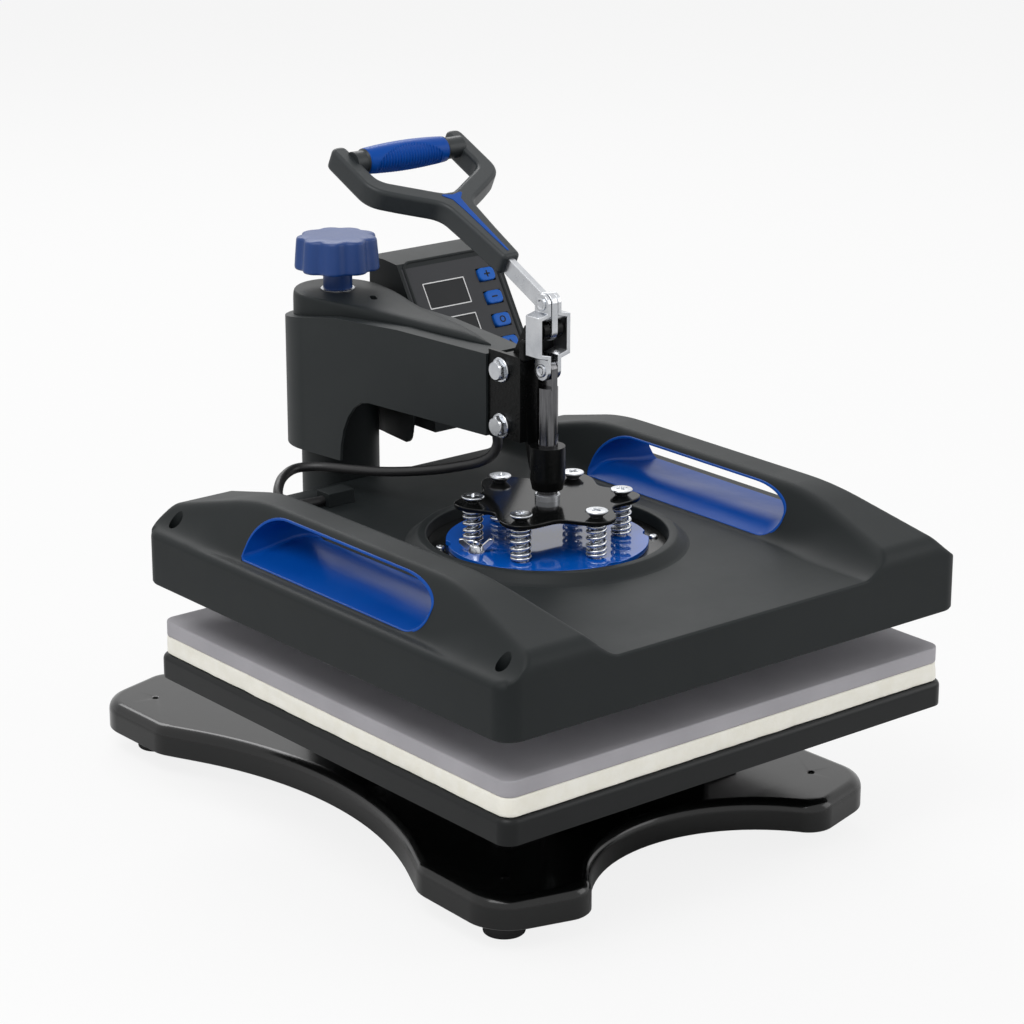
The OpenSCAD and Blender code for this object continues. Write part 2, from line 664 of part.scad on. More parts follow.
module power_inlet() color(gloss_black) at_box_back() translate([0, inlet_y, 0]) difference() {
    union() {
        block(inlet[0], inlet[1], -18, 0.5);
        block(inlet[0] + 6, inlet[1] + 4, 0, 2.5);
    }
    block(inlet[0] - 4, inlet[1] - 4, -14, 4);
}
module fuse_holder() color(gloss_black) at_box_back() translate([0, fuse_y, 0]) {
    translate([0, 0, -20]) cylinder(d = fuse_d, h = 20.5);
    cylinder(d = fuse_d + 5, h = 3);
}
rocker_r = 9;
rocker_tilt = 8;
module switch_frame() color(gloss_black) at_box_back() translate([0, switch_y, 0]) difference() {
    union() {
        block(switch_hole[0], switch_hole[1], -14, 0.5);
        block(switch_hole[0] + 4, switch_hole[1] + 4, 0, 2);
    }
    block(switch_hole[0] - 6, switch_hole[1] - 3, -11, 4);
}
module power_switch() color([0.5, 0.05, 0.05]) at_box_back() translate([0, switch_y, -2])
    rotate([90, 0, 0]) intersection() {
        translate([0, 0, -switch_hole[1] / 2 + 1.5 + pass]) cylinder(r = rocker_r, h = switch_hole[1] - 3 - 2 * pass);
        rotate(rocker_tilt) translate([-rocker_r, -4, -switch_hole[1]])
            cube([2 * rocker_r, 10.5, 2 * switch_hole[1]]);
    }

// Heater cord: from a gland under the arm, round in a loop, into the housing.
// The route is measured from the plunger.
cord_route = [
    [0, 54, 267], [0, 54, 260], [-3, 57, 252], [-8, 66, 246], [-13, 80, 241], [-18, 96, 236], [-24, 120, 230],
    [-31, 146, 225], [-39, 172, 222], [-50, 193, 221], [-65, 201, 221], [-81, 194, 220], [-94, 182, 218],
    [-101, 172, 214], [-98, 163.5, 211], [-90, 160.5, 209], [-80, 160, 208.5], [-72, 160, 208.5]];
gland_d = 12;
function unit(v) = v / norm(v);
function along(p, i) = unit(p[min(i + 1, len(p) - 1)] - p[max(i - 1, 0)]);
// One step of a frame carried along a path without twist
function carry(n, t) = unit(n - (n * t) * t);
function frames(p, i = 0, n = [1, 0, 0.01]) =
    i >= len(p) ? [] : let (m = carry(n, along(p, i))) concat([m], frames(p, i + 1, m));
function tube_ring(p, t, n, r, sides) = [for (k = [0 : sides - 1])
    let (a = 360 * k / sides) p + r * (cos(a) * n + sin(a) * cross(t, n))];
module tube(p, r, sides, first = [1, 0, 0.01]) {
    f = frames(p, 0, first);
    n = len(p);
    points = [for (i = [0 : n - 1]) each tube_ring(p[i], along(p, i), f[i], r, sides)];
    walls = [for (i = [0 : n - 2]) for (k = [0 : sides - 1])
        let (a = i * sides + k, b = i * sides + (k + 1) % sides)
            each [[a, b, b + sides], [a, b + sides, a + sides]]];
    low = [for (k = [1 : sides - 2]) [0, k + 1, k]];
    high = [for (k = [1 : sides - 2]) (n - 1) * sides * [1, 1, 1] + [0, k, k + 1]];
    polyhedron(points, concat(walls, low, high));
}
module arm_gland() color(gloss_black) at_platen() translate([0, gland_y, 0]) {
    translate([0, 0, cord_route[0][2]])
        cylinder(d1 = cord_d + 3, d2 = gland_d + 4, h = shell_low - cord_route[0][2]);
    translate([0, 0, shell_low - seat]) cylinder(d = gland_d - 2 * seat, h = arm_wall);
}
module heater_cord() color(gloss_black) at_platen() tube(cord_route, cord_d / 2, 10);

// Lever: a bent plate on the pivot, with the forked handle clamped on its upper limb.
// The frame of the handle starts at the link's pin, with +Y up along the handle.
rivet_d = 7;
lever_r = 7.5;
stem_start = 44.5;
stem_w = 18;
handle_t = 16;
handle_top = 7.2;
bar_w = 12;
bar_low = -7.8;
bar_end = 72;
grip_rise = 3.5;
module at_handle() at_platen() translate([0, 0, pin_a]) rotate([handle_tilt, 0, 0]) children();
module lever_bar() color(zinc) difference() {
    union() {
        at_platen() translate([0, 0, pin_a]) rod_x(lever_r, -lever_t / 2, lever_t / 2);
        at_platen() translate([0, 0, pivot_z]) rod_x(lever_r, -lever_t / 2, lever_t / 2);
        at_platen() translate([-lever_t / 2, -lever_r, pivot_z]) cube([lever_t, 2 * lever_r, crank]);
        at_handle() translate([-lever_t / 2, 0, bar_low]) cube([lever_t, bar_end, bar_w]);
    }
    at_platen() translate([0, 0, pin_a]) rod_x(rivet_d / 2 + run, -lever_t, lever_t);
    at_platen() translate([0, 0, pivot_z]) rod_x(pivot_d / 2 + run, -lever_t, lever_t);
}
arm_bar = 12.5;
fork_end = grip_at + 14;
fork_in = fork_w / 2 - arm_bar;
fork_low = grip_at - 31.5;
stem_end = fork_low - 36;
function half_handle() = [
    [stem_w / 2 - 1.5, stem_start], [stem_w / 2, stem_start + 30], [stem_w / 2 + 1, stem_end],
    [stem_w / 2 + 6, stem_end + 6], [fork_w / 2 - 22, fork_low - 16], [fork_w / 2 - 7.5, fork_low - 9],
    [fork_w / 2, fork_low], [fork_w / 2, fork_end - 5], [fork_w / 2 - 3.5, fork_end],
    [fork_in + 3, fork_end], [fork_in, fork_end - 3.5], [fork_in, fork_low + 10],
    [fork_in - 3.5, fork_low + 4], [fork_in - 15, fork_low - 3], [9, fork_low - 15], [5, fork_low - 18]];
module handle_frame() color(black) at_handle() difference() {
    union() {
        translate([0, 0, handle_top - handle_t]) linear_extrude(handle_t)
            polygon(concat(half_handle(), [for (p = back_over(half_handle())) [-p[0], p[1]]]));
        translate([0, grip_at, grip_rise]) rod_x(grip_core / 2, -fork_in - more, fork_in + more);
    }
    translate([-lever_t / 2 - seat, stem_start - more, bar_low - seat])
        cube([lever_t + 2 * seat, bar_end - stem_start + more + seat, bar_w + 2 * seat]);
    translate([0, 0, handle_top - inlay_t]) linear_extrude(inlay_t + more) inlay_plan(0);
}
grip_core = 16;
module handle_grip() color(blue) at_handle() translate([0, grip_at, grip_rise]) difference() {
    rod_x(grip_d / 2, -grip_l / 2, grip_l / 2);
    rod_x(grip_core / 2 + seat, -grip_l, grip_l);
}
inlay_t = 1.2;
module inlay_plan(inset) polygon([
    [1 - inset, stem_start + 6 + inset], [3 - inset, stem_end - 4], [4.5 - inset, stem_end + 8],
    [8.5 - inset, fork_low - 20 - inset], [0, fork_low - 22 - inset], [-8.5 + inset, fork_low - 20 - inset],
    [-4.5 + inset, stem_end + 8], [-3 + inset, stem_end - 4], [-1 + inset, stem_start + 6 + inset]]);
module handle_inlay() color(blue) at_handle() translate([0, 0, handle_top - inlay_t])
    linear_extrude(inlay_t + 0.4) inlay_plan(seat);

// Links: bent plates that pass outside the ears, riveted to the lever and the plunger
link_in = lever_t / 2 + pass;
link_out = ear_in + ear_t + 2.8;
link_w = 14;
bend_h = 2.0;
bend_top = pin_a - 5.4;
bend_low = pin_b + 8.5;
bend_side = link_out - link_in;
// Offset of the bend's inner face, for the same thickness all along the plate
bend_off = link_t * (norm([bend_side, bend_h]) - bend_h) / bend_side;
module link_bend() polygon([
    [link_in, pin_a + link_w / 2], [link_in + link_t, pin_a + link_w / 2],
    [link_in + link_t, bend_top], [link_out + link_t, bend_top - bend_h],
    [link_out + link_t, bend_low + bend_h], [link_in + link_t, bend_low],
    [link_in + link_t, pin_b - link_w / 2], [link_in, pin_b - link_w / 2],
    [link_in, bend_low + bend_off], [link_out, bend_low + bend_h + bend_off],
    [link_out, bend_top - bend_h - bend_off], [link_in, bend_top - bend_off]]);
module link_plate() difference() {
    intersection() {
        along_y(-link_w / 2, link_w / 2) link_bend();
        union() {
            along_x(0, link_out + link_t + more)
                translate([-link_w / 2, pin_b]) square([link_w, link_l]);
            for (z = [pin_a, pin_b]) translate([0, 0, z]) rod_x(link_w / 2, 0, link_out + link_t + more);
        }
    }
    for (z = [pin_a, pin_b]) translate([0, 0, z]) rod_x(rivet_d / 2 + seat, 0, link_out);
}
module link_right() color(zinc) at_platen() link_plate();
module link_left() color(zinc) at_platen() mirror([1, 0, 0]) link_plate();
rivet_head = 1.8;
module link_rivets() color(zinc) at_platen() {
    translate([0, 0, pin_a]) rod_x(rivet_d / 2, -link_in - link_t - 0.2, link_in + link_t + 0.2);
    for (side = [0, 1]) mirror([side, 0, 0]) {
        translate([0, 0, pin_a]) rod_x(rivet_d / 2 + 1.7, link_in + link_t, link_in + link_t + rivet_head);
        translate([0, 0, pin_b]) rod_x(rivet_d / 2 + 1.7, link_in + link_t, link_in + link_t + rivet_head);
        translate([0, 0, pin_b]) rod_x(rivet_d / 2, link_in, link_in + link_t + 0.2);
    }
}

// Plunger: the rod's flat tongue meets the links, and its foot holds the spider
rod_foot = 10;
tongue_r = 7;
tongue_l = 12;
module plunger_rod() color(steel) at_platen() {
    translate([0, 0, spider_top]) cylinder(d = rod_d, h = pin_b - tongue_l - spider_top);
    translate([0, 0, spider_z - 9]) cylinder(d = rod_foot, h = spider_h + 9 + more);
    translate([-lever_t / 2, -tongue_r, pin_b - tongue_l - more]) cube([lever_t, 2 * tongue_r, tongue_l + more]);
    translate([0, 0, pin_b]) rod_x(tongue_r, -lever_t / 2, lever_t / 2);
}
spider_lobe = 13;
spider_waist = 7;
module spider_plan() {
    circle(screw_ring - spider_waist);
    ring_of(6, screw_ring - 6) circle(spider_lobe + 3);
    ring_of(6, screw_ring) circle(spider_lobe);
}
module spider() color(gloss_black) at_platen() translate([0, 0, spider_z]) difference() {
    linear_extrude(spider_h) spider_plan();
    translate([0, 0, -more]) cylinder(d = rod_foot + 2 * seat, h = spider_h + 2 * more);
    ring_of(6, screw_ring) translate([0, 0, -more]) cylinder(d = screw_d + 0.6, h = spider_h + 2 * more);
}
module spider_nut() color(zinc) at_platen() translate([0, 0, spider_z - 7]) difference() {
    hex(17, 7);
    translate([0, 0, -more]) cylinder(d = rod_foot + 2 * seat, h = 7 + 2 * more);
}

// Housing: a square moulded shell with a hand rim at each side and a round well
house_half = house_w / 2;
rim_foot = house_half - 79.5;
rim_in = rim_foot + 20;
rim_out = rim_in + 27.5;
rim_toe = rim_out + 19.5;
rim_top = house_top + rim_h;
// Towards front and back the rim's top falls gently and then rolls over into the wall
rim_flat = house_half - 88.5;
rim_fall = 0.2;
rim_roll = 24;
rim_lean = atan(rim_fall);
rim_roll_z = rim_top - rim_fall * (house_half - rim_roll * (1 - sin(rim_lean)) - rim_flat) - rim_roll * cos(rim_lean);
module rim_section(wall) polygon([
    [rim_foot + wall, lid_z - wall], [rim_foot + wall, house_top - wall], [rim_in + wall, rim_top - 2 - wall],
    [rim_in + 4 + wall, rim_top - wall], [rim_out - 4 - wall, rim_top - wall],
    [rim_out - wall, rim_top - 2 - wall], [rim_toe - wall, house_top - wall], [rim_toe - wall, lid_z - wall]]);
function reverse_of(list) = [for (i = [len(list) - 1 : -1 : 0]) list[i]];
function rim_end(wall) = [
    [house_half - wall, lid_z - wall],
    for (i = [0 : 6]) let (a = (90 - rim_lean) * i / 6)
        [house_half - rim_roll + (rim_roll - wall) * cos(a), rim_roll_z + (rim_roll - wall) * sin(a)],
    [rim_flat - wall * tan(rim_lean / 2), rim_top - wall]];
module rim_profile(wall) polygon(concat(rim_end(wall), [for (p = reverse_of(rim_end(wall))) [-p[0], p[1]]]));
module rim(wall) intersection() {
    along_y(-house_half, house_half) rim_section(wall);
    along_x(rim_foot - more, house_half + more) rim_profile(wall);
    translate([0, 0, lid_z - 2 * wall - more]) linear_extrude(rim_h + 30) round_square(house_w - 2 * wall, house_corner);
}
slot_mid = 0;
slot_z = house_top + 16;
slot_wall = 2;
module slot_bar(grow, x0, x1) along_x(x0, x1) {
    translate([slot_mid, slot_z]) square([slot_l - slot_h, slot_h + 2 * grow], center = true);
    for (end = [-1, 1])
        translate([slot_mid + end * (slot_l - slot_h) / 2, slot_z]) circle(slot_h / 2 + grow);
}
house_screw = [house_half - 14.5, house_half - 19.5];
house_screw_d = 5;
boss_d = 15;
module at_house_screws() at_platen() corners(2 * house_screw[0], 2 * house_screw[1]) children();
module both_sides() for (side = [0, 1]) mirror([side, 0, 0]) children();
module housing() color(black) difference() {
    union() {
        at_platen() difference() {
            union() {
                slab(house_w, house_corner, house_z, house_h);
                both_sides() rim(0);
                translate([0, 0, house_top - more]) cylinder(r1 = well_r + 14, r2 = well_r + 7, h = well_rise + more);
            }
            slab(house_w - 2 * house_wall, house_corner - house_wall, house_z - more, house_h - house_wall + more);
            both_sides() rim(house_wall);
            translate([0, 0, lid_z - more]) cylinder(r = well_r, h = 40);
        }
        intersection() {
            at_house_screws() translate([0, 0, hub_z]) cylinder(d = boss_d, h = lid_z + 20 - hub_z);
            at_platen() union() {
                slab(house_w - house_wall, house_corner, house_z, house_h - more);
                both_sides() rim(more);
            }
        }
    }
    at_platen() both_sides() slot_bar(seat, rim_foot - more, house_half + more);
    at_house_screws() translate([0, 0, lid_z - 9]) cylinder(d = boss_d - 5, h = 60);
    at_house_screws() translate([0, 0, hub_z - more]) cylinder(d = house_screw_d + 2 * seat, h = 40);
    at_platen() translate([clamp_hole[0], clamp_hole[1], lid_z - more]) cylinder(d = gland_d, h = 20);
}
module hand_slot() intersection() {
    difference() {
        slot_bar(0, rim_foot - more, house_half + more);
        slot_bar(-slot_wall, rim_foot - 2 * more, house_half + 2 * more);
    }
    rim(0);
}
module hand_slot_right() color(blue) at_platen() hand_slot();
module hand_slot_left() color(blue) at_platen() mirror([1, 0, 0]) hand_slot();
module housing_screws() color(zinc) at_house_screws() {
    translate([0, 0, lid_z - 9]) cylinder(d = 9, h = 3);
    translate([0, 0, hub_z - 8]) cylinder(d = house_screw_d, h = lid_z - 9 - hub_z + 8 + 0.5);
}
cord_end = cord_route[len(cord_route) - 1];
clamp = [22, 15, 10];
clamp_hole = [cord_end[0] + 12, cord_end[1]];
module platen_gland() color(gloss_black) at_platen() {
    translate([cord_end[0], cord_end[1] - clamp[1] / 2, house_top]) cube(clamp);
    translate([clamp_hole[0], clamp_hole[1], lid_z]) cylinder(d = gland_d - 2 * seat, h = house_wall + seat);
}

// Heating plate, insulation and the sprung disc on its hub
module heating_plate() color("silver") difference() {
    at_platen() {
        slab(plate_w, house_corner - house_wall, plate_z, plate_h);
        translate([0, 0, hub_z - more]) cylinder(r = hub_r, h = flange_z - hub_z + more);
    }
    at_house_screws() translate([0, 0, hub_z - 8 - seat]) cylinder(d = house_screw_d + 2 * seat, h = 20);
    at_platen() ring_of(6, screw_ring) translate([0, 0, flange_z - 8 - seat]) cylinder(d = screw_d + 2 * seat, h = 20);
    at_platen() translate([stud_at[0], stud_at[1], flange_z - 2 - seat]) cylinder(d = stud_d + 2 * seat, h = 20);
}
felt_gap = 5.5;
felt_w = 2 * house_screw[1] - boss_d - 2 * felt_gap;
module insulation() color("white") at_platen() translate([0, 0, hub_z]) difference() {
    linear_extrude(felt_h) round_square(felt_w, 12);
    translate([0, 0, -more]) cylinder(r = hub_r + seat, h = felt_h + 2 * more);
}
ring_screw_r = 73.5;
module flange_ring() color(gloss_black) at_platen() translate([0, 0, flange_z]) difference() {
    cylinder(r = well_r - pass, h = flange_h);
    ring_of(6, screw_ring) translate([0, 0, -more]) cylinder(d = screw_d + 2 * seat, h = flange_h + 2 * more);
    ring_of(6, ring_screw_r) translate([0, 0, -more]) cylinder(d = 3 + 2 * seat, h = flange_h + 2 * more);
    translate([stud_at[0], stud_at[1], -more]) cylinder(d = stud_d + 2 * seat, h = flange_h + 2 * more);
}
module ring_screws() color(zinc) at_platen() ring_of(6, ring_screw_r) {
    translate([0, 0, disc_z]) cylinder(d = 6, h = 2);
    translate([0, 0, flange_z - 4]) cylinder(d = 3, h = flange_h + 4.5);
}
module pressure_disc() color(blue) at_platen() translate([0, 0, disc_z]) difference() {
    linear_extrude(disc_h) difference() {
        circle(disc_r);
        ring_of(6, ring_screw_r + 2) circle(9);
    }
    ring_of(6, screw_ring) translate([0, 0, -more]) cylinder(d = screw_d + 2 * seat, h = disc_h + 2 * more);
    translate([stud_at[0], stud_at[1], -more]) cylinder(d = stud_d + 2 * seat, h = disc_h + 2 * more);
}
head_d = 15.5;
head_h = 4.6;
module spring_screws() color(zinc) at_platen() ring_of(6, screw_ring) {
    translate([0, 0, flange_z - 8]) cylinder(d = screw_d, h = spider_top + 1 - flange_z + 8);
    translate([0, 0, spider_top + 0.1]) {
        cylinder(d1 = screw_d + 2.5, d2 = head_d, h = head_h - 1);
        translate([0, 0, head_h - 1]) cylinder(d = head_d, h = 1);
    }
}
stud_at = [-56, 7];
stud_d = 5;
module wing_nut() color(zinc) at_platen() translate([stud_at[0], stud_at[1], 0]) {
    translate([0, 0, flange_z - 2]) cylinder(d = stud_d, h = disc_top + 8 - flange_z + 2);
    translate([0, 0, disc_top]) cylinder(d1 = 11, d2 = 8.5, h = 5.5);
    for (side = [0, 1]) rotate(-39 + 180 * side)
        along_y(-1.2, 1.2) polygon([[3, disc_top + 1.5], [7, disc_top + 1.5], [12, disc_top + 8],
            [9, disc_top + 10], [3.5, disc_top + 5]]);
}

// Springs: each is one wire that leaves the disc upright, bends into its curls
// and ends upright under the spider. The wire is drawn on an unrolled cylinder.
bend_r = spring_wire * 1.1;
wire_slope = atan2(spring_l - 2 * spring_wire - 2 * bend_r, spring_turns * 360 * PI / 180 * spring_r);
wire_bend = [for (a = [15 : 25 : 90 - wire_slope]) a];
function bend_point(a) = [bend_r * (1 - cos(a)), spring_wire + bend_r * sin(a)];
last_bend = bend_point(90 - wire_slope);
wire_half = [spring_turns * PI * spring_r, spring_l / 2];
wire_steps = ceil(spring_turns * 8);
wire_flat = concat(
    [[0, 0], [0, spring_wire]],
    [for (a = wire_bend) bend_point(a)],
    [for (i = [0 : wire_steps]) last_bend + (2 * wire_half - 2 * last_bend) * i / wire_steps],
    [for (a = back_over(wire_bend)) 2 * wire_half - bend_point(a)],
    [2 * wire_half - [0, spring_wire], 2 * wire_half]);
function wound(p) = let (a = p[0] / spring_r * 180 / PI) [spring_r * cos(a), spring_r * sin(a), p[1]];
spring_path = [for (p = wire_flat) wound(p)];
// Least gap between two stretches of the wire that are half a curl or more apart
wire_gap = min([for (i = [0 : len(spring_path) - 1]) for (j = [i + 5 : 1 : len(spring_path) - 1])
    norm(spring_path[i] - spring_path[j])]) - spring_wire;
echo(least_gap_in_a_spring = wire_gap);
module springs() color(zinc) at_platen() ring_of(6, screw_ring)
    translate([0, 0, disc_top]) tube(spring_path, spring_wire / 2, 6);

base_plate();
feet();
stand();
stand_bolts();
tray();
foam_sheet();
press_pad();
column();
column_bolts();
post();
thrust_washer();
arm_beam();
arm_shell();
arm_cover();
plunger_guide();
guide_bolts();
guide_nuts();
pivot_pin();
screw_nut();
pressure_knob();
pressure_screw();
control_box();
box_back();
front_panel();
displays();
circuit_board();
box_screws();
power_inlet();
fuse_holder();
switch_frame();
power_switch();
button_up();
button_down();
button_set();
button_count();
arm_gland();
heater_cord();
platen_gland();
lever_bar();
handle_frame();
handle_grip();
handle_inlay();
link_left();
link_right();
link_rivets();
plunger_rod();
spider();
spider_nut();
housing();
hand_slot_left();
hand_slot_right();
housing_screws();
flange_ring();
ring_screws();
pressure_disc();
spring_screws();
springs();
wing_nut();
heating_plate();
insulation();
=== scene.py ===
import json
import math
import bmesh
import bpy
from mathutils import Matrix, Vector, noise


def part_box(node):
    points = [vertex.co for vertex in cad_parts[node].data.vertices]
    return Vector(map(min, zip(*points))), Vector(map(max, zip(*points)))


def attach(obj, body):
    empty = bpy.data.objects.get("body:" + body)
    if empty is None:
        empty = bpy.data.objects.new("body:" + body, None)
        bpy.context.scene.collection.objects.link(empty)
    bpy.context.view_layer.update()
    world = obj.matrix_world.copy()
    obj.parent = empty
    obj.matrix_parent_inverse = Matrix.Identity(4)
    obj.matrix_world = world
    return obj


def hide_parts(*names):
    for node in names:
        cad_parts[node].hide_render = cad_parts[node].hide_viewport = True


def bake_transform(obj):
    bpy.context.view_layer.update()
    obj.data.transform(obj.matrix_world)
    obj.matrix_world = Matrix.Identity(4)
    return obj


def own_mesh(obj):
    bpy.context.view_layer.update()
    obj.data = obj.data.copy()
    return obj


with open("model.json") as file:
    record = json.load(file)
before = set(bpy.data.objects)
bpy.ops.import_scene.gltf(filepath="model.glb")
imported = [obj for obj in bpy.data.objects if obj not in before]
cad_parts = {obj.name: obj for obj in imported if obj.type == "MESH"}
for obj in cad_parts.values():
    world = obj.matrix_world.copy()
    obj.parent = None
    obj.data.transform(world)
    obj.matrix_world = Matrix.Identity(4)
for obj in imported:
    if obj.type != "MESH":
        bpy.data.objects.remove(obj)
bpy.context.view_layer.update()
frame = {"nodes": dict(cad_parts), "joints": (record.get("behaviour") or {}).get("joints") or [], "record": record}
record = frame["record"]
bodyOfNode = {node: body for body, nodes in record["behaviour"]["bodies"].items() for node in nodes}
print("frame loaded:", len(bodyOfNode), "nodes")

# Shapes below are lists of points and faces in millimetres, in the frame of the part
toMetres = 0.001
sameSpot = 0.002  # points closer than this are one point
flatTurn = 0.6  # CAD faces that turn by fewer degrees are one face
edgeShare = 0.48  # of an edge, what the round of one corner may take
straightHalf = 89  # a corner with a larger half angle, in degrees, is as good as straight


def boxOf(node):
    low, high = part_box(node)
    return Vector(low) / toMetres, Vector(high) / toMetres


def middleOf(node):
    low, high = boxOf(node)
    return (low + high) / 2


def jointAt(name):
    joint = next(j for j in frame["joints"] if j["name"] == name)
    return Vector(joint["pos_m"]) / toMetres


# Camera

cameraView = {
    "eye": (-1.2737, -1.6042, 0.8634),
    "target": (0.1948, 0.1945, 0.1165),
    "lens": 108.2,
    "sensorWidth": 36.0,
    "clipEnd": 50.0,
}


def putAndAim(obj, place, target):
    obj.location = place
    look = Vector(target) - Vector(place)
    obj.rotation_euler = look.to_track_quat("-Z", "Y").to_euler()
    bpy.context.scene.collection.objects.link(obj)


def makeCamera(view):
    data = bpy.data.cameras.new("camera")
    data.lens = view["lens"]
    data.sensor_width = view["sensorWidth"]
    data.clip_end = view["clipEnd"]
    camera = bpy.data.objects.new("camera", data)
    putAndAim(camera, view["eye"], view["target"])
    bpy.context.scene.camera = camera


makeCamera(cameraView)
print("camera set")


# Mesh tools

def merged(*parts):
    verts = []
    faces = []
    for part in parts:
        start = len(verts)
        verts += part[0]
        faces += [[i + start for i in face] for face in part[1]]
    return verts, faces


def moved(part, matrix):
    return [tuple(matrix @ Vector(v)) for v in part[0]], part[1]


def shifted(part, x=0, y=0, z=0):
    return moved(part, Matrix.Translation((x, y, z)))


def turned(degrees, axis):
    return Matrix.Rotation(math.radians(degrees), 4, axis)


alongX = turned(90, "Y")
alongY = turned(-90, "X")
mirror = Matrix.Scale(-1, 4, (1, 0, 0))


def loft(rings, loop=False):
    count = len(rings[0])
    verts = [tuple(p) for ring in rings for p in ring]
    faces = []
    for j in range(len(rings) if loop else len(rings) - 1):
        k = (j + 1) % len(rings)
        for i in range(count):
            n = (i + 1) % count
            faces.append([j * count + i, j * count + n, k * count + n, k * count + i])
    if not loop:
        faces.append(list(range(count))[::-1])
        faces.append([(len(rings) - 1) * count + i for i in range(count)])
    return verts, faces


def flat(outline, z):
    return [(x, y, z) for x, y in outline]


def circle(r, steps, z=0, x=0, y=0):
    angles = [2 * math.pi * i / steps for i in range(steps)]
    return [(x + r * math.cos(a), y + r * math.sin(a), z) for a in angles]


def revolved(profile, steps=48, loop=False):
    return loft([circle(r, steps, h) for r, h in profile], loop)


def cylinder(r, low, high, steps):
    return revolved([(r, low), (r, high)], steps)


def prism(outline, low, high):
    return loft([flat(outline, low), flat(outline, high)])


def slabY(outline, near, far):
    return loft([[(x, y, z) for x, z in outline] for y in (near, far)])


def oval(x, y, rx, ry, start, end, steps):
    angles = [math.radians(start + (end - start) * i / steps) for i in range(steps + 1)]
    return [(x + rx * math.cos(a), y + ry * math.sin(a)) for a in angles]


def arc(x, y, r, start, end, steps):
    return oval(x, y, r, r, start, end, steps)


def roundedRect(w, h, r, steps=6):
    x, y = w / 2 - r, h / 2 - r
    hubs = [(x, y), (-x, y), (-x, -y), (x, -y)]
    return [p for k, hub in enumerate(hubs) for p in arc(*hub, r, 90 * k, 90 * k + 90, steps)]


def stacked(w, h, r, levels, steps):
    # Rings of a rounded plate: how far each is drawn in, and its height
    return [flat(roundedRect(w - 2 * i, h - 2 * i, r - i, steps), z) for i, z in levels]


def bothSides(right):
    return right + [(-p[0], *p[1:]) for p in right[::-1]]


def filleted(points, radius, steps=5):
    # Rounds each corner of an outline, as far as its two edges allow
    rounded = []
    for i, point in enumerate(points):
        p = Vector(point)
        before = Vector(points[i - 1]) - p
        after = Vector(points[(i + 1) % len(points)]) - p
        half = before.angle(after) / 2
        size = radius[i] if isinstance(radius, list) else radius
        reach = min(size / math.tan(half), edgeShare * before.length, edgeShare * after.length)
        if half > math.radians(straightHalf):
            rounded.append((p.x, p.y))
            continue
        a = p + before.normalized() * reach
        b = p + after.normalized() * reach
        for k in range(steps + 1):
            t = k / steps
            q = a * (1 - t) ** 2 + p * 2 * t * (1 - t) + b * t ** 2
            rounded.append((q.x, q.y))
    return rounded


def toBmesh(part):
    bm = bmesh.new()
    verts = [bm.verts.new(v) for v in part[0]]
    for face in part[1]:
        corners = [verts[i] for i in face]
        if len(set(corners)) > 2 and bm.faces.get(corners) is None:
            bm.faces.new(corners)
    bmesh.ops.remove_doubles(bm, verts=bm.verts, dist=sameSpot)
    return bm


def fromBmesh(bm):
    bm.verts.index_update()
    part = [tuple(v.co) for v in bm.verts], [[v.index for v in f.verts] for f in bm.faces]
    bm.free()
    return part


def bevel(bm, edges, width, segments):
    bmesh.ops.bevel(bm, geom=edges, offset=width, offset_type="OFFSET", segments=segments,
                    profile=0.5, affect="EDGES", clamp_overlap=True)


def eased(part, width, segments=3, angle=40):
    # Rounds every edge that turns by more than the angle
    bm = toBmesh(part)
    bmesh.ops.recalc_face_normals(bm, faces=bm.faces)
    sharp = math.radians(angle)
    edges = [e for e in bm.edges if len(e.link_faces) == 2 and e.calc_face_angle(0) > sharp]
    bevel(bm, edges, width, segments)
    return fromBmesh(bm)


def cadShape(node):
    mesh = frame["nodes"][node].data
    part = [tuple(v.co / toMetres) for v in mesh.vertices], [list(p.vertices) for p in mesh.polygons]
    bm = toBmesh(part)
    bmesh.ops.dissolve_limit(bm, angle_limit=math.radians(flatTurn), verts=bm.verts, edges=bm.edges)
    return fromBmesh(bm)


def solidsOf(node):
    # Boxes of the separate solids of a node, such as the bolts of a group
    bm = toBmesh(cadShape(node))
    left = set(bm.verts)
    boxes = []
    while left:
        found = set()
        front = [left.pop()]
        while front:
            v = front.pop()
            found.add(v)
            near = [e.other_vert(v) for e in v.link_edges]
            fresh = [n for n in near if n in left]
            left.difference_update(fresh)
            front += fresh
        low = Vector([min(v.co[i] for v in found) for i in range(3)])
        high = Vector([max(v.co[i] for v in found) for i in range(3)])
        boxes.append((low, high))
    bm.free()
    return sorted(boxes, key=lambda b: tuple(round(c, 2) for c in b[0]))


def newObject(name, part, scale=1):
    bm = toBmesh(part)
    bmesh.ops.recalc_face_normals(bm, faces=bm.faces)
    bmesh.ops.scale(bm, vec=(scale, scale, scale), verts=bm.verts)
    mesh = bpy.data.meshes.new(name)
    bm.to_mesh(mesh)
    bm.free()
    obj = bpy.data.objects.new(name, mesh)
    bpy.context.scene.collection.objects.link(obj)
    return obj


def cut(part, *cutters):
    body = newObject("shape", part)
    tools = [newObject("cutter", c) for c in cutters]
    for tool in tools:
        step = body.modifiers.new("cut", "BOOLEAN")
        step.object = tool
        step.operation = "DIFFERENCE"
        step.solver = "EXACT"
    mesh = body.evaluated_get(bpy.context.evaluated_depsgraph_get()).to_mesh()
    result = [tuple(v.co) for v in mesh.vertices], [list(p.vertices) for p in mesh.polygons]
    for obj in [body] + tools:
        bpy.data.objects.remove(obj)
    return result


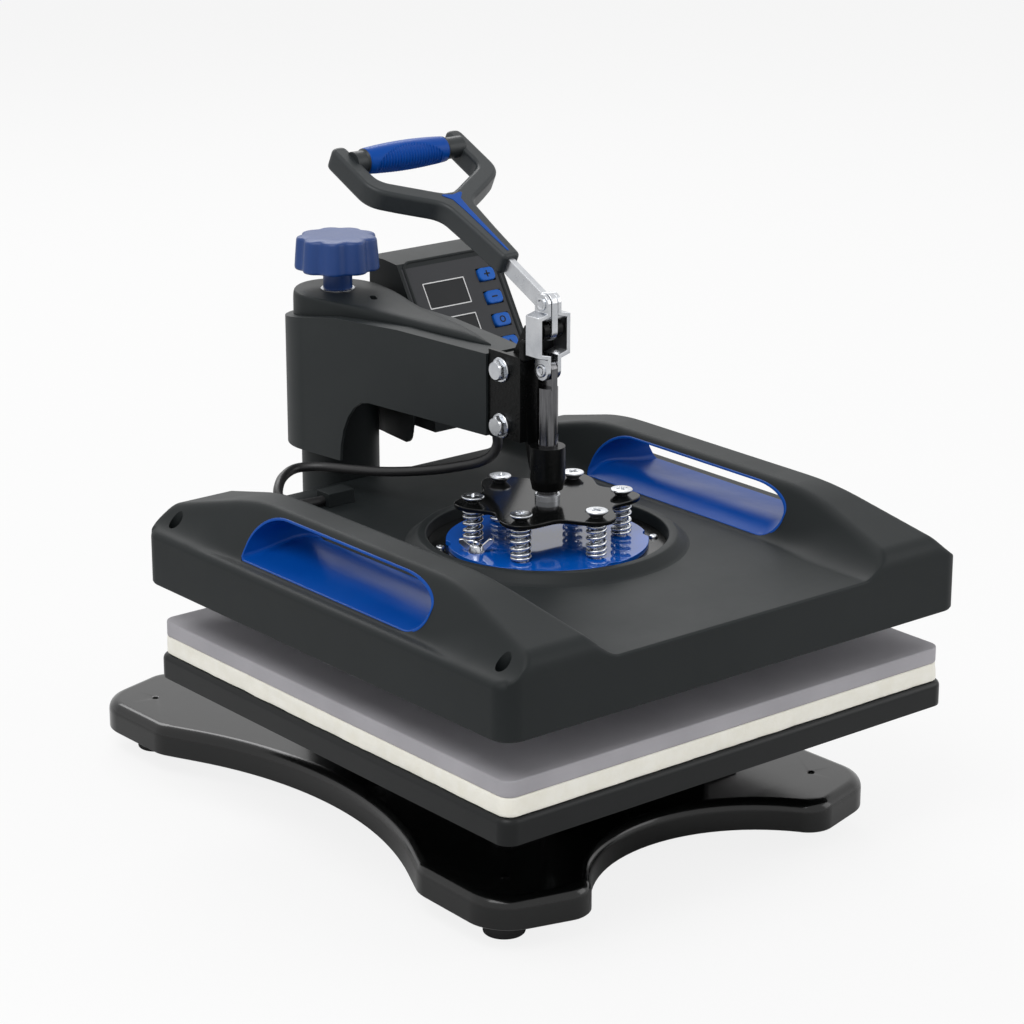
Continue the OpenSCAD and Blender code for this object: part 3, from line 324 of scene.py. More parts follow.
def tube(path, radius, sides):
    rings = []
    across = Vector((1, 0, 0.01))
    for i, p in enumerate(path):
        ahead = (path[min(i + 1, len(path) - 1)] - path[max(i - 1, 0)]).normalized()
        across = (across - ahead * across.dot(ahead)).normalized()
        up = ahead.cross(across)
        turns = [2 * math.pi * k / sides for k in range(sides)]
        rings.append([p + across * radius * math.cos(t) + up * radius * math.sin(t) for t in turns])
    return loft(rings)


def smoothPath(points, steps):
    # A smooth line through all the points
    path = []
    ends = [points[0] * 2 - points[1]] + points + [points[-1] * 2 - points[-2]]
    for i in range(1, len(ends) - 2):
        a, b, c, d = ends[i - 1:i + 3]
        for k in range(steps):
            t = k / steps
            path.append((b * 2 + (c - a) * t + (a * 2 - b * 5 + c * 4 - d) * t ** 2
                         + (b * 3 - a - c * 3 + d) * t ** 3) / 2)
    return path + [points[-1]]


def dress(obj, finish, crease):
    obj.data.shade_smooth()
    obj.data.set_sharp_from_angle(angle=math.radians(crease))
    obj.data.materials.append(finishes[finish])


def addPiece(name, part, finish, node, crease=38, replace=True, weighted=True):
    obj = newObject(name, part, toMetres)
    dress(obj, finish, crease)
    if weighted:
        step = obj.modifiers.new("even normals", "WEIGHTED_NORMAL")
        step.keep_sharp = True
    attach(obj, bodyOfNode[node])
    if replace:
        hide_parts(node)
    return obj


# Shared surface effects

def newGroup(name, inputs, outputs):
    group = bpy.data.node_groups.new(name, "ShaderNodeTree")
    for label, value in inputs:
        socket = group.interface.new_socket(name=label, in_out="INPUT", socket_type="NodeSocketFloat")
        socket.default_value = value
    for label in outputs:
        group.interface.new_socket(name=label, in_out="OUTPUT", socket_type="NodeSocketFloat")
    return group, group.nodes.new("NodeGroupInput"), group.nodes.new("NodeGroupOutput")


def feed(tree, socket, value):
    # A number is set on the socket, an output is linked to it
    if isinstance(value, (int, float)):
        socket.default_value = value
    else:
        tree.links.new(value, socket)


def addNoise(tree, vector, scale, detail, rough=0.55):
    node = tree.nodes.new("ShaderNodeTexNoise")
    for label, value in (("Vector", vector), ("Scale", scale), ("Detail", detail), ("Roughness", rough)):
        feed(tree, node.inputs[label], value)
    return node.outputs["Fac"]


noiseSpan = (0.3, 0.7)  # nearly all of a noise lies between these


def addRange(tree, value, low, high):
    node = tree.nodes.new("ShaderNodeMapRange")
    ends = (("From Min", noiseSpan[0]), ("From Max", noiseSpan[1]), ("To Min", low), ("To Max", high))
    for label, end in (("Value", value),) + ends:
        feed(tree, node.inputs[label], end)
    return node.outputs["Result"]


def objectPlace(tree):
    return tree.nodes.new("ShaderNodeTexCoord").outputs["Object"]


def makeGrain():
    # Fine skin of a moulding or a paint, and slow change of its tone
    group, start, end = newGroup("skinGrain", [("Scale", 900), ("Patch", 9)], ["Height", "Tone"])
    place = objectPlace(group)
    fine = addNoise(group, place, start.outputs["Scale"], 2)
    slow = addNoise(group, place, start.outputs["Patch"], 4)
    group.links.new(fine, end.inputs["Height"])
    group.links.new(addRange(group, slow, 0, 1), end.inputs["Tone"])
    return group


def makeHandling():
    # Where hands and cloths have made the surface duller
    inputs = [("Clean", 0.3), ("Dull", 0.5), ("Scale", 14)]
    group, start, end = newGroup("handlingMarks", inputs, ["Roughness"])
    place = objectPlace(group)
    marks = addNoise(group, place, start.outputs["Scale"], 6, 0.7)
    level = addRange(group, marks, start.outputs["Clean"], start.outputs["Dull"])
    group.links.new(level, end.inputs["Roughness"])
    return group


def makeStreaks():
    # Drawn or rolled lines along one axis
    group, start, end = newGroup("drawnStreaks", [("Across", 700), ("Along", 12)], ["Height", "Tone"])
    mapping = group.nodes.new("ShaderNodeMapping")
    size = group.nodes.new("ShaderNodeCombineXYZ")
    group.links.new(start.outputs["Across"], size.inputs["X"])
    group.links.new(start.outputs["Across"], size.inputs["Y"])
    group.links.new(start.outputs["Along"], size.inputs["Z"])
    group.links.new(objectPlace(group), mapping.inputs["Vector"])
    group.links.new(size.outputs["Vector"], mapping.inputs["Scale"])
    lines = addNoise(group, mapping.outputs["Vector"], 1, 3)
    group.links.new(lines, end.inputs["Height"])
    group.links.new(addRange(group, lines, 0, 1), end.inputs["Tone"])
    return group


skinGrain = makeGrain()
handlingMarks = makeHandling()
drawnStreaks = makeStreaks()


def srgb(r, g, b):
    def straight(c):
        return c / 12.92 if c <= 0.04045 else ((c + 0.055) / 1.055) ** 2.4
    return tuple(straight(c / 255) for c in (r, g, b)) + (1,)


def placeGroup(tree, group, **values):
    node = tree.nodes.new("ShaderNodeGroup")
    node.node_tree = group
    for label, value in values.items():
        node.inputs[label].default_value = value
    return node


usualLook = {"metallic": 0, "ior": 1.5, "shine": 0.5, "coat": 0, "coatRough": 0.1, "sheen": 0,
             "grain": 900, "patch": 9, "marks": 14, "bump": 0.2, "depth": 0.00008}
plainSockets = {"Metallic": "metallic", "IOR": "ior", "Specular IOR Level": "shine", "Coat Weight": "coat",
                "Coat Roughness": "coatRough", "Sheen Weight": "sheen"}


def makeFinish(name, own):
    look = {**usualLook, **own}
    material = bpy.data.materials.new(name)
    material.use_nodes = True
    tree = material.node_tree
    shader = tree.nodes["Principled BSDF"]
    for socket, key in plainSockets.items():
        shader.inputs[socket].default_value = look[key]
    if "streaks" in look:
        across, along = look["streaks"]
        skin = placeGroup(tree, drawnStreaks, Across=across, Along=along)
    else:
        skin = placeGroup(tree, skinGrain, Scale=look["grain"], Patch=look["patch"])
    tint = tree.nodes.new("ShaderNodeMix")
    tint.data_type = "RGBA"
    tint.inputs["A"].default_value = srgb(*look["dark"])
    tint.inputs["B"].default_value = srgb(*look["light"])
    tree.links.new(skin.outputs["Tone"], tint.inputs["Factor"])
    tree.links.new(tint.outputs["Result"], shader.inputs["Base Color"])
    clean, dull = look["rough"]
    marks = placeGroup(tree, handlingMarks, Clean=clean, Dull=dull, Scale=look["marks"])
    tree.links.new(marks.outputs["Roughness"], shader.inputs["Roughness"])
    bump = tree.nodes.new("ShaderNodeBump")
    bump.inputs["Strength"].default_value = look["bump"]
    bump.inputs["Distance"].default_value = look["depth"]
    tree.links.new(skin.outputs["Height"], bump.inputs["Height"])
    tree.links.new(bump.outputs["Normal"], shader.inputs["Normal"])
    return material


# Colours from 0 to 255, roughness clean and handled, depth of the bump in metres
looks = {
    "mattePlastic": {"dark": (25, 29, 30), "light": (29, 33, 34), "rough": (0.48, 0.54), "grain": 1500,
                     "bump": 0.35, "depth": 0.00006, "shine": 0.2},
    "armPlastic": {"dark": (34, 38, 39), "light": (38, 42, 43), "rough": (0.46, 0.54), "grain": 1500,
                   "bump": 0.35, "depth": 0.00006, "shine": 0.24},
    # The housing's plastic, drawn lighter and glossier for the handle: painted light for the light that falls on
    # it
    "handlePlasticPaintedLight": {"dark": (38, 42, 44), "light": (44, 48, 50), "rough": (0.38, 0.46), "grain": 1500,
                      "bump": 0.3, "depth": 0.00006, "shine": 0.34},
    "glossPaint": {"dark": (7, 8, 8), "light": (11, 12, 12), "rough": (0.14, 0.22), "grain": 700,
                   "bump": 0.25, "depth": 0.00006, "shine": 0.35, "coat": 0.15, "coatRough": 0.12},
    "spiderPaint": {"dark": (7, 8, 8), "light": (11, 12, 12), "rough": (0.08, 0.14), "grain": 520,
                    "bump": 0.3, "depth": 0.00006, "shine": 0.24},
    "castPaint": {"dark": (8, 9, 9), "light": (13, 14, 14), "rough": (0.22, 0.34), "grain": 330,
                  "bump": 0.6, "depth": 0.0003, "shine": 0.12},
    "satinPaint": {"dark": (14, 16, 17), "light": (19, 21, 22), "rough": (0.34, 0.42), "grain": 1100,
                   "bump": 0.3, "depth": 0.00006, "shine": 0.24},
    "royalBlue": {"dark": (0, 66, 152), "light": (4, 76, 164), "rough": (0.3, 0.42), "grain": 1600,
                  "bump": 0.15, "depth": 0.00004, "shine": 0.15},
    "buttonBlue": {"dark": (22, 94, 188), "light": (32, 106, 202), "rough": (0.3, 0.42), "grain": 1600,
                   "bump": 0.1, "depth": 0.00004, "shine": 0.2},
    "knobBlue": {"dark": (16, 54, 114), "light": (24, 64, 128), "rough": (0.34, 0.44), "grain": 1600,
                 "bump": 0.2, "depth": 0.00004, "shine": 0.45},
    "discBlue": {"dark": (0, 84, 186), "light": (6, 94, 198), "rough": (0.04, 0.1), "grain": 300,
                 "bump": 0.08, "depth": 0.00004, "shine": 0.3, "coat": 0.6, "coatRough": 0.03},
    "zincPlate": {"dark": (188, 191, 196), "light": (216, 218, 221), "rough": (0.2, 0.34), "metallic": 1,
                  "grain": 800, "patch": 60, "bump": 0.15, "depth": 0.00003},
    "bareSteel": {"dark": (88, 88, 90), "light": (112, 112, 114), "rough": (0.1, 0.2), "metallic": 1,
                  "streaks": (900, 60), "bump": 0.12, "depth": 0.00003},
    "rubber": {"dark": (20, 20, 21), "light": (30, 30, 31), "rough": (0.55, 0.72), "grain": 1200,
               "bump": 0.3, "depth": 0.0001},
    "cordSkin": {"dark": (22, 22, 23), "light": (32, 32, 33), "rough": (0.34, 0.5), "grain": 1800,
                 "bump": 0.25, "depth": 0.00005},
    "siliconePad": {"dark": (162, 160, 165), "light": (175, 173, 178), "rough": (0.7, 0.85), "grain": 2200,
                    "patch": 16, "bump": 0.4, "depth": 0.00012},
    "creamFoam": {"dark": (246, 243, 230), "light": (253, 251, 242), "rough": (0.85, 0.95), "grain": 800,
                  "patch": 90, "bump": 0.6, "depth": 0.0004, "sheen": 0.2},
    "bronze": {"dark": (150, 108, 58), "light": (184, 140, 84), "rough": (0.28, 0.42), "metallic": 1},
    "aluminium": {"dark": (176, 178, 181), "light": (200, 201, 204), "rough": (0.32, 0.46), "metallic": 1,
                  "streaks": (60, 900)},
    "felt": {"dark": (214, 210, 198), "light": (236, 233, 224), "rough": (0.88, 0.96), "grain": 600,
             "bump": 0.7, "depth": 0.0005, "sheen": 0.3},
    "panelFilm": {"dark": (52, 53, 56), "light": (58, 59, 62), "rough": (0.38, 0.46), "grain": 2400,
                  "bump": 0.12, "depth": 0.00003, "shine": 0.22},
    "displayGlass": {"dark": (34, 35, 37), "light": (40, 41, 43), "rough": (0.3, 0.38), "grain": 500,
                     "bump": 0.02, "shine": 0.16},
    "whitePrint": {"dark": (232, 232, 232), "light": (244, 244, 244), "rough": (0.45, 0.6)},
    "glossBlack": {"dark": (16, 16, 17), "light": (22, 22, 23), "rough": (0.18, 0.3), "grain": 1400,
                   "bump": 0.1, "depth": 0.00004},
    "boardGreen": {"dark": (12, 66, 38), "light": (22, 84, 50), "rough": (0.3, 0.45)},
    "rockerRed": {"dark": (128, 14, 16), "light": (150, 22, 22), "rough": (0.22, 0.34), "bump": 0.1},
}
finishes = {name: makeFinish(name, look) for name, look in looks.items()}
print("finishes made:", len(finishes))


# Heater cord, from the gland under the arm to the clamp on the housing.
# The route is measured from the plunger, in metres.

platenY = middleOf("press_pad").y * toMetres
heaterCord = {
    "diameter": 0.007, "sides": 16, "smooth": 6, "crease": 50,
    "route": [
        (0, 0.054, 0.267), (0, 0.054, 0.260), (-0.003, 0.057, 0.252), (-0.008, 0.066, 0.246),
        (-0.013, 0.080, 0.241), (-0.018, 0.096, 0.236), (-0.024, 0.120, 0.230), (-0.031, 0.146, 0.225),
        (-0.039, 0.172, 0.222), (-0.050, 0.193, 0.221), (-0.065, 0.201, 0.221), (-0.081, 0.194, 0.220),
        (-0.094, 0.182, 0.218), (-0.101, 0.172, 0.214), (-0.098, 0.1635, 0.211), (-0.090, 0.1605, 0.209),
        (-0.080, 0.160, 0.2085), (-0.072, 0.160, 0.2085)],
}


def makeCord(cord):
    points = [Vector((x, y + platenY, z)) for x, y, z in cord["route"]]
    path = smoothPath(points, cord["smooth"])
    shape = tube([p / toMetres for p in path], cord["diameter"] / 2 / toMetres, cord["sides"])
    piece = newObject("heaterCord", shape, toMetres)
    dress(piece, "cordSkin", cord["crease"])
    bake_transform(piece)
    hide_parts("heater_cord")


makeCord(heaterCord)
print("cord laid")


# Pieces whose CAD shape is right and only needs its edges eased: rounding, segments, finish

easedNodes = {
    "feet": (1.5, 3, "rubber"),
    "stand": (1.0, 2, "satinPaint"),
    "column": (1.0, 3, "mattePlastic"),
    "post": (0.6, 2, "bareSteel"),
    "thrust_washer": (0.3, 2, "bronze"),
    "arm_beam": (0.6, 2, "satinPaint"),
    "plunger_guide": (0.9, 3, "castPaint"),
    "pivot_pin": (0.5, 2, "bareSteel"),
    "pressure_screw": (0.3, 2, "zincPlate"),
    "control_box": (2.0, 4, "mattePlastic"),
    "box_back": (0.6, 2, "mattePlastic"),
    "front_panel": (0.4, 2, "panelFilm"),
    "displays": (0.3, 2, "displayGlass"),
    "circuit_board": (0.2, 1, "boardGreen"),
    "power_inlet": (0.8, 3, "glossBlack"),
    "fuse_holder": (0.8, 3, "glossBlack"),
    "switch_frame": (0.6, 3, "glossBlack"),
    "power_switch": (0.5, 2, "rockerRed"),
    "arm_gland": (0.6, 2, "rubber"),
    "platen_gland": (1.6, 4, "mattePlastic"),
    "lever_bar": (0.7, 3, "zincPlate"),
    "link_left": (0.6, 3, "zincPlate"),
    "link_right": (0.6, 3, "zincPlate"),
    "plunger_rod": (0.8, 3, "bareSteel"),
    "flange_ring": (0.5, 2, "glossPaint"),
    "pressure_disc": (0.7, 3, "discBlue"),
    "heating_plate": (0.8, 2, "aluminium"),
    "insulation": (1.0, 2, "felt"),
}
for node, (width, segments, finish) in easedNodes.items():
    addPiece(node + "Eased", eased(cadShape(node), width, segments), finish, node)
print("eased pieces:", len(easedNodes))


# Shell of the arm: the right leg has a round lower corner in front

armShellForm = {"edge": 2.2, "edgeSteps": 4, "legFront": 110.0, "legX": (4.0, 60.0), "cornerR": 9.0,
                "spare": 1.0}


def makeArmShell(form):
    low = boxOf("arm_shell")[0].z
    front, r, spare = form["legFront"], form["cornerR"], form["spare"]
    corner = [(front - spare, low + r), (front - spare, low - spare), (front + r, low - spare)]
    corner += arc(front + r, low + r, r, 270, 180, 10)
    outside = loft([[(x, y, z) for y, z in corner] for x in form["legX"]])
    shape = cut(eased(cadShape("arm_shell"), form["edge"], form["edgeSteps"]), outside)
    addPiece("armShell", shape, "armPlastic", "arm_shell")


makeArmShell(armShellForm)
print("arm shell made")


# Web that ties the lever's ears to the bracket, behind the links

webForm = {"half": 14.0, "topHalf": 12.4, "near": 8.2, "far": 13.5,
           "low": 331.0, "shoulder": 343.0, "high": 345.0, "edge": 0.8}


def makeWeb(form):
    y = jointAt("lever_turn").y
    right = [(form["half"], form["low"]), (form["half"], form["shoulder"]), (form["topHalf"], form["high"])]
    plate = slabY(bothSides(right), y + form["near"], y + form["far"])
    addPiece("earWeb", eased(plate, form["edge"]), "castPaint", "plunger_guide", replace=False)


makeWeb(webForm)
print("ear web made")


# Tray: a deep round on its upper edge, small ones elsewhere

trayForm = {"topRound": 4.6, "topSteps": 7, "edge": 0.9, "edgeSteps": 2, "edgeAngle": 60,
            "level": 0.05, "sharp": 1.0}  # which edges are the upper ones: height, and turn in radians


def makeTray(form):
    top = boxOf("tray")[1].z
    bm = toBmesh(cadShape("tray"))
    upper = [e for e in bm.edges if all(abs(v.co.z - top) < form["level"] for v in e.verts)]
    bevel(bm, [e for e in upper if e.calc_face_angle(0) > form["sharp"]], form["topRound"], form["topSteps"])
    shape = eased(fromBmesh(bm), form["edge"], form["edgeSteps"], form["edgeAngle"])
    addPiece("trayPressing", shape, "satinPaint", "tray")


makeTray(trayForm)
print("tray made")


# Base: legs and hollow sides, with a rounded edge all round

baseForm = {
    "skirt": 3.0, "edge": 8.0, "edgeSteps": 7, "footEdge": 0.8,
    "waistW": 252.0, "waistD": 382.0, "sideR": 290.0, "endR": 115.0,
    # Bench bolt holes, each with a shallow sink
    "boltX": 137.0, "boltY": 204.0, "holeR": 2.25, "sinkR": 3.4, "sink": 0.8, "holeSteps": 20,
    # Round corners of a leg: place from its bolt, and radius
    "legSide": (3.0, -44.0, 28.0), "legTip": (0.0, 4.0, 32.0), "legEnd": (-27.0, 24.0, 20.0),
    # Steps of the arcs of a quarter, from the hollow side to the hollow end
    "arcSteps": (14, 9, 14, 12, 14),
}


def turnOf(v):
    return math.degrees(math.atan2(v[1], v[0]))


def between(a, b):
    return (b[0] - a[0], b[1] - a[1])


def innerTangent(a, ra, b, rb, way):
    d = between(a, b)
    return turnOf(d) + way * math.degrees(math.acos(min(1, (ra + rb) / math.hypot(*d))))


def outerTangent(a, ra, b, rb):
    d = between(a, b)
    return turnOf(d) - math.degrees(math.acos((ra - rb) / math.hypot(*d)))


def baseOutline(form, inset):
    corners = [form[corner] for corner in ("legSide", "legTip", "legEnd")]
    side, tip, end = [((form["boltX"] + x, form["boltY"] + y), r) for x, y, r in corners]
    hollow = (form["waistW"] / 2 + form["sideR"], 0), form["sideR"]
    gap = (0, form["waistD"] / 2 + form["endR"]), form["endR"]
    sideTurn = innerTangent(*hollow, *side, 1)
    endTurn = innerTangent(*end, *gap, -1)
    tipTurn = outerTangent(*side, *tip)
    endStart = outerTangent(*tip, *end)
    arcs = [(hollow, inset, 180, sideTurn), (side, -inset, sideTurn - 180, tipTurn),
            (tip, -inset, tipTurn, endStart), (end, -inset, endStart, endTurn),
            (gap, inset, endTurn + 180, 270)]
    quarter = []
    for ((hub, r), grow, start, stop), steps in zip(arcs, form["arcSteps"]):
        quarter += arc(*hub, r + grow, start, stop, steps)
    right = [(x, -y) for x, y in quarter[:0:-1]] + quarter
    left = [(-x, y) for x, y in right[::-1]]
    return right[:-1] + left[:-1]


def makeBase(form):
    low, high = boxOf("base_plate")
    edge, wall, foot = form["edge"], form["skirt"], form["footEdge"]
    under = edge - wall
    section = [(foot, low.z), (0, low.z + foot)]
    for k in range(form["edgeSteps"] + 1):
        t = math.radians(90 * k / form["edgeSteps"])
        section.append((edge * (1 - math.cos(t)), high.z - edge * (1 - math.sin(t))))
    section += [(edge - under * math.cos(t), high.z - edge + under * math.sin(t))
                for t in (math.pi / 2, math.pi / 4, 0)]
    section.append((wall, low.z))
    bm = bmesh.new()
    rings = [[bm.verts.new(p) for p in flat(baseOutline(form, inset), z)] for inset, z in section]
    top = form["edgeSteps"] + 2
    count = len(rings[0])
    for j, ring in enumerate(rings):
        if j == top:
            continue  # the plate closes this gap
        after = rings[(j + 1) % len(rings)]
        for i in range(count):
            bm.faces.new((ring[i], ring[(i + 1) % count], after[(i + 1) % count], after[i]))
    holeR, steps = form["holeR"], form["holeSteps"]
    levels = [(form["sinkR"], high.z), (holeR, high.z - form["sink"]), (holeR, high.z - wall)]
    upper, lower = [rings[top]], [rings[top + 1]]
    for x, y in [(sx * form["boltX"], sy * form["boltY"]) for sx in (-1, 1) for sy in (-1, 1)]:
        circles = [[bm.verts.new(p) for p in circle(r, steps, z, x, y)] for r, z in levels]
        for a, b in zip(circles, circles[1:]):
            for i in range(steps):
                bm.faces.new((a[i], a[(i + 1) % steps], b[(i + 1) % steps], b[i]))
        upper.append(circles[0])
        lower.append(circles[-1])
    for loops in (upper, lower):
        pairs = [(v, loop[(i + 1) % len(loop)]) for loop in loops for i, v in enumerate(loop)]
        edges = [bm.edges.get(pair) or bm.edges.new(pair) for pair in pairs]
        bmesh.ops.triangle_fill(bm, use_beauty=True, edges=edges)
    addPiece("basePressing", fromBmesh(bm), "glossPaint", "base_plate")


makeBase(baseForm)
print("base made")


# Foam and pad: sheets with soft edges that wander a little

sheets = {
    "foam_sheet": {"name": "foamLayer", "finish": "creamFoam", "corner": 10, "edge": 1.2, "rows": 6,
                   "wander": 0.7, "grainSize": 16.0, "fill": 0.9},
    "press_pad": {"name": "siliconePad", "finish": "siliconePad", "corner": 9, "edge": 1.0, "rows": 4,
                  "wander": 0.12, "grainSize": 60.0, "fill": 1.0},
}
sheetRound = (0, 0.5, 1.0, math.pi / 2)  # turns of a sheet's rounded edge
sheetGrain = {"spacing": 4.0, "fineShare": 0.5, "fineSize": 0.25}


def finePlan(plan, spacing):
    # Adds points along the straight sides
    points = []
    for i, p in enumerate(plan):
        q = plan[(i + 1) % len(plan)]
        steps = max(1, int(math.dist(p, q) / spacing))
        points += [(p[0] + (q[0] - p[0]) * k / steps, p[1] + (q[1] - p[1]) * k / steps)
                   for k in range(steps)]
    return points


def makeSheet(node, look, grain):
    low, high = boxOf(node)
    mid = (low + high) / 2
    edge, rows, wander = look["edge"], look["rows"], look["wander"]
    wide = high.x - low.x - 2 * wander
    long = high.y - low.y - 2 * wander
    levels = [(edge * (1 - math.sin(t)), low.z + edge * (1 - math.cos(t))) for t in sheetRound]
    rounded = levels[::-1]
    levels += [(0, low.z + edge + (high.z - low.z - 2 * edge) * k / rows) for k in range(1, rows)]
    levels += [(inset, low.z + high.z - z) for inset, z in rounded]
    rings = []
    for plan in stacked(wide, long, look["corner"], levels, 8):
        z = plan[0][2]
        ring = []
        for x, y in finePlan([p[:2] for p in plan], grain["spacing"]):
            push = wander * noise.noise(Vector((x, y, z * 2)) / look["grainSize"])
            fine = noise.noise(Vector((x, y, z)) / (look["grainSize"] * grain["fineSize"]))
            push += wander * grain["fineShare"] * fine
            away = Vector((x, y, 0)).normalized()
            ring.append((mid.x + x + away.x * push, mid.y + y + away.y * push, z))
        rings.append(ring)
    size = min(len(r) for r in rings)
    rings = [[r[round(i * len(r) / size) % len(r)] for i in range(size)] for r in rings]
    piece = addPiece(look["name"], loft(rings), look["finish"], node, crease=60)


for node, look in sheets.items():
    makeSheet(node, look, sheetGrain)
print("foam and pad made")


# Housing: square shell with two hand rims, an opening for the disc and a collar round it

housingForm = {
    "corner": 14.0, "sideEdge": 5.0, "frontEdge": 1.8, "edgeSteps": 6, "wall": 3.0,
    "lid": 204.5, "ceiling": 200.0,
    # Rounded lower edge: how far it is drawn in, and its height
    "skirtRound": [(0, 1.5), (0.6, 0.3), (1.5, 0)],
    # A rim rises from its foot to the crest and falls to its toe
    "foot": 118.0, "inSlope": 1.7, "crest": 240.5, "toe": 185.0, "outSlope": 1.744, "crease": 6.0,
    # Folds at foot and toe: beside the hand slot, and wider at the ends of the rim
    "inFold": (9.0, 22.0), "outFold": (6.0, 20.0), "foldEnds": (100.0, 150.0),
    # Towards front and back the crest falls gently, then rolls over into the wall
    "flat": 109.0, "fall": 0.256, "roll": 14.0, "rollZ": 206.97,
    # Openings: radius, lower and upper end
    "well": (88.0, 150.0, 260.0), "screwHole": (5.0, 192.5, 300.0),
    # Collar: its radii and height, and its section as steps out from a radius and up from a level
    "collarR": {"bore": 82.0, "top": 89.0, "foot": 96.0}, "collarRise": 7.0,
    "collarSection": [
        ("bore", 0, "foot", -4), ("bore", 0, "top", -1.5), ("bore", 0.5, "top", -0.5),
        ("bore", 1.5, "top", 0), ("top", -1.5, "top", 0), ("top", -0.3, "top", -0.5),
        ("top", 0.6, "top", -1.5), ("foot", -2.4, "foot", 1.6), ("foot", -1, "foot", 0.5),
        ("foot", 1, "foot", -0.1), ("foot", 1, "foot", -4)],
    # Grid of the lid: up to which distance from the middle, and spacing; then the spacing near the edge
    "gridX": [(98, 10), (190, 1.2)], "gridY": [(94, 12), (190, 1.3)], "gridEdge": 1.6,
}


def softMin(a, b, k):
    h = max(k - abs(a - b), 0) / k
    return min(a, b) - h * h * k / 4


def softMax(a, b, k):
    return -softMin(-a, -b, k)


def rimEnd(form, half, y):
    lean = math.atan(form["fall"])
    past = abs(y) - (half - form["roll"])
    if past > form["roll"] * math.sin(lean):
        return form["rollZ"] + math.sqrt(max(0, form["roll"] ** 2 - past ** 2))
    return form["crest"] - form["fall"] * (abs(y) - form["flat"])


def foldAt(form, fold, y):
    start, end = form["foldEnds"]
    t = min(1, max(0, (abs(y) - start) / (end - start)))
    return fold[0] + (fold[1] - fold[0]) * t * t * (3 - 2 * t)


def lidHeight(form, half, x, y):
    lid = form["lid"]
    inner = softMax(lid, lid + (abs(x) - form["foot"]) * form["inSlope"], foldAt(form, form["inFold"], y))
    outer = softMax(lid, lid + (form["toe"] - abs(x)) * form["outSlope"], foldAt(form, form["outFold"], y))
    top = softMin(form["crest"], rimEnd(form, half, y), form["crease"])
    return softMin(softMin(inner, outer, form["crease"]), top, form["crease"])


def edgeDrop(over, edge):
    return edge - math.sqrt(max(0, edge * edge - over * over)) if over > 0 else 0


def onRoundSquare(half, corner, x, y):
    # Moves a point of a square grid so that the square's corners become round
    d = max(abs(x), abs(y))
    r = max(0, corner - (half - d))
    t = min(abs(x), abs(y))
    if r == 0 or t <= d - r:
        return x, y
    a = math.radians(45) * (t - (d - r)) / r
    big, small = d - r + r * math.cos(a), d - r + r * math.sin(a)
    px, py = (big, small) if abs(x) >= abs(y) else (small, big)
    return math.copysign(px, x), math.copysign(py, y)


def gridLines(form, half, edge, stops):
    steps = form["edgeSteps"]
    lines = [half - edge + edge * math.sin(math.radians(90 * k / steps)) for k in range(steps + 1)]
    start = 0.0
    for stop, step in stops + [(half - edge, form["gridEdge"])]:
        count = max(1, round((stop - start) / step))
        lines += [start + (stop - start) * k / count for k in range(count)]
        start = stop
    lines = sorted(set(round(v, 4) for v in lines))
    return [-v for v in lines[:0:-1]] + lines


handSlot = {
    "low": 205.6, "high": 235.4, "half": 97.0,
    # Radii of the four corners, along and up
    "backLow": (3.0, 4.0), "backHigh": (30.0, 21.0), "frontHigh": (36.0, 15.0), "frontLow": (17.0, 14.0),
    # The opening in the housing is wider by the play and is cut between these two distances
    "play": 0.6, "cutOut": 230.0, "cutIn": 100.0,
    # Lip of the lining: how far it grows round the mouth, and stands out of the rim
    "lip": [(1.4, -1.2), (1.4, 0.2), (1.1, 0.5), (0.4, 0.5), (0.0, 0.2), (0.0, -0.6)],
    # Inside, the lining narrows and its floor rises; the back of it lies behind the lips
    "steps": 8, "narrow": 0.8, "lift": 5.0, "back": (0.45, -1.6), "backDepths": (0.96, 0.5, 0.04),
}


def slotRing(form, slot, depth, grow, out, lift=0):
    # One ring of a hand slot: depth 0 at the outer mouth, 1 at the inner one
    low, high, half = slot["low"] - grow, slot["high"] + grow, slot["half"] + grow
    plan = []
    for k, corner in enumerate(("backLow", "backHigh", "frontHigh", "frontLow")):
        ry, rz = slot[corner]
        y = half - ry if k < 2 else ry - half
        z = high - rz if k in (1, 2) else low + rz
        plan += oval(y, z, ry, rz, 90 * k - 90, 90 * k, 12)
    ring = []
    for y, z in plan:
        xOut = form["toe"] - (z - form["lid"]) / form["outSlope"] + out
        xIn = form["foot"] + (z - form["lid"]) / form["inSlope"] - out
        rise = lift * (1 - (z - low) / (high - low)) ** 2
        ring.append((xOut + (xIn - xOut) * depth, y, z + rise))
    return ring


def slotCutter(form, slot):
    outer, inner = [slotRing(form, slot, depth, slot["play"], 0) for depth in (0, 1)]
    near = [(slot["cutOut"], y, z) for x, y, z in outer]
    far = [(slot["cutIn"], y, z) for x, y, z in inner]
    return loft([near, outer, inner, far])


def lidPoint(form, half, x, y):
    px, py = onRoundSquare(half, form["corner"], x, y)
    drops = [edgeDrop(abs(v) - (half - form[edge]), form[edge])
             for v, edge in ((x, "sideEdge"), (y, "frontEdge"))]
    return px, py, lidHeight(form, half, px, py) - max(drops)


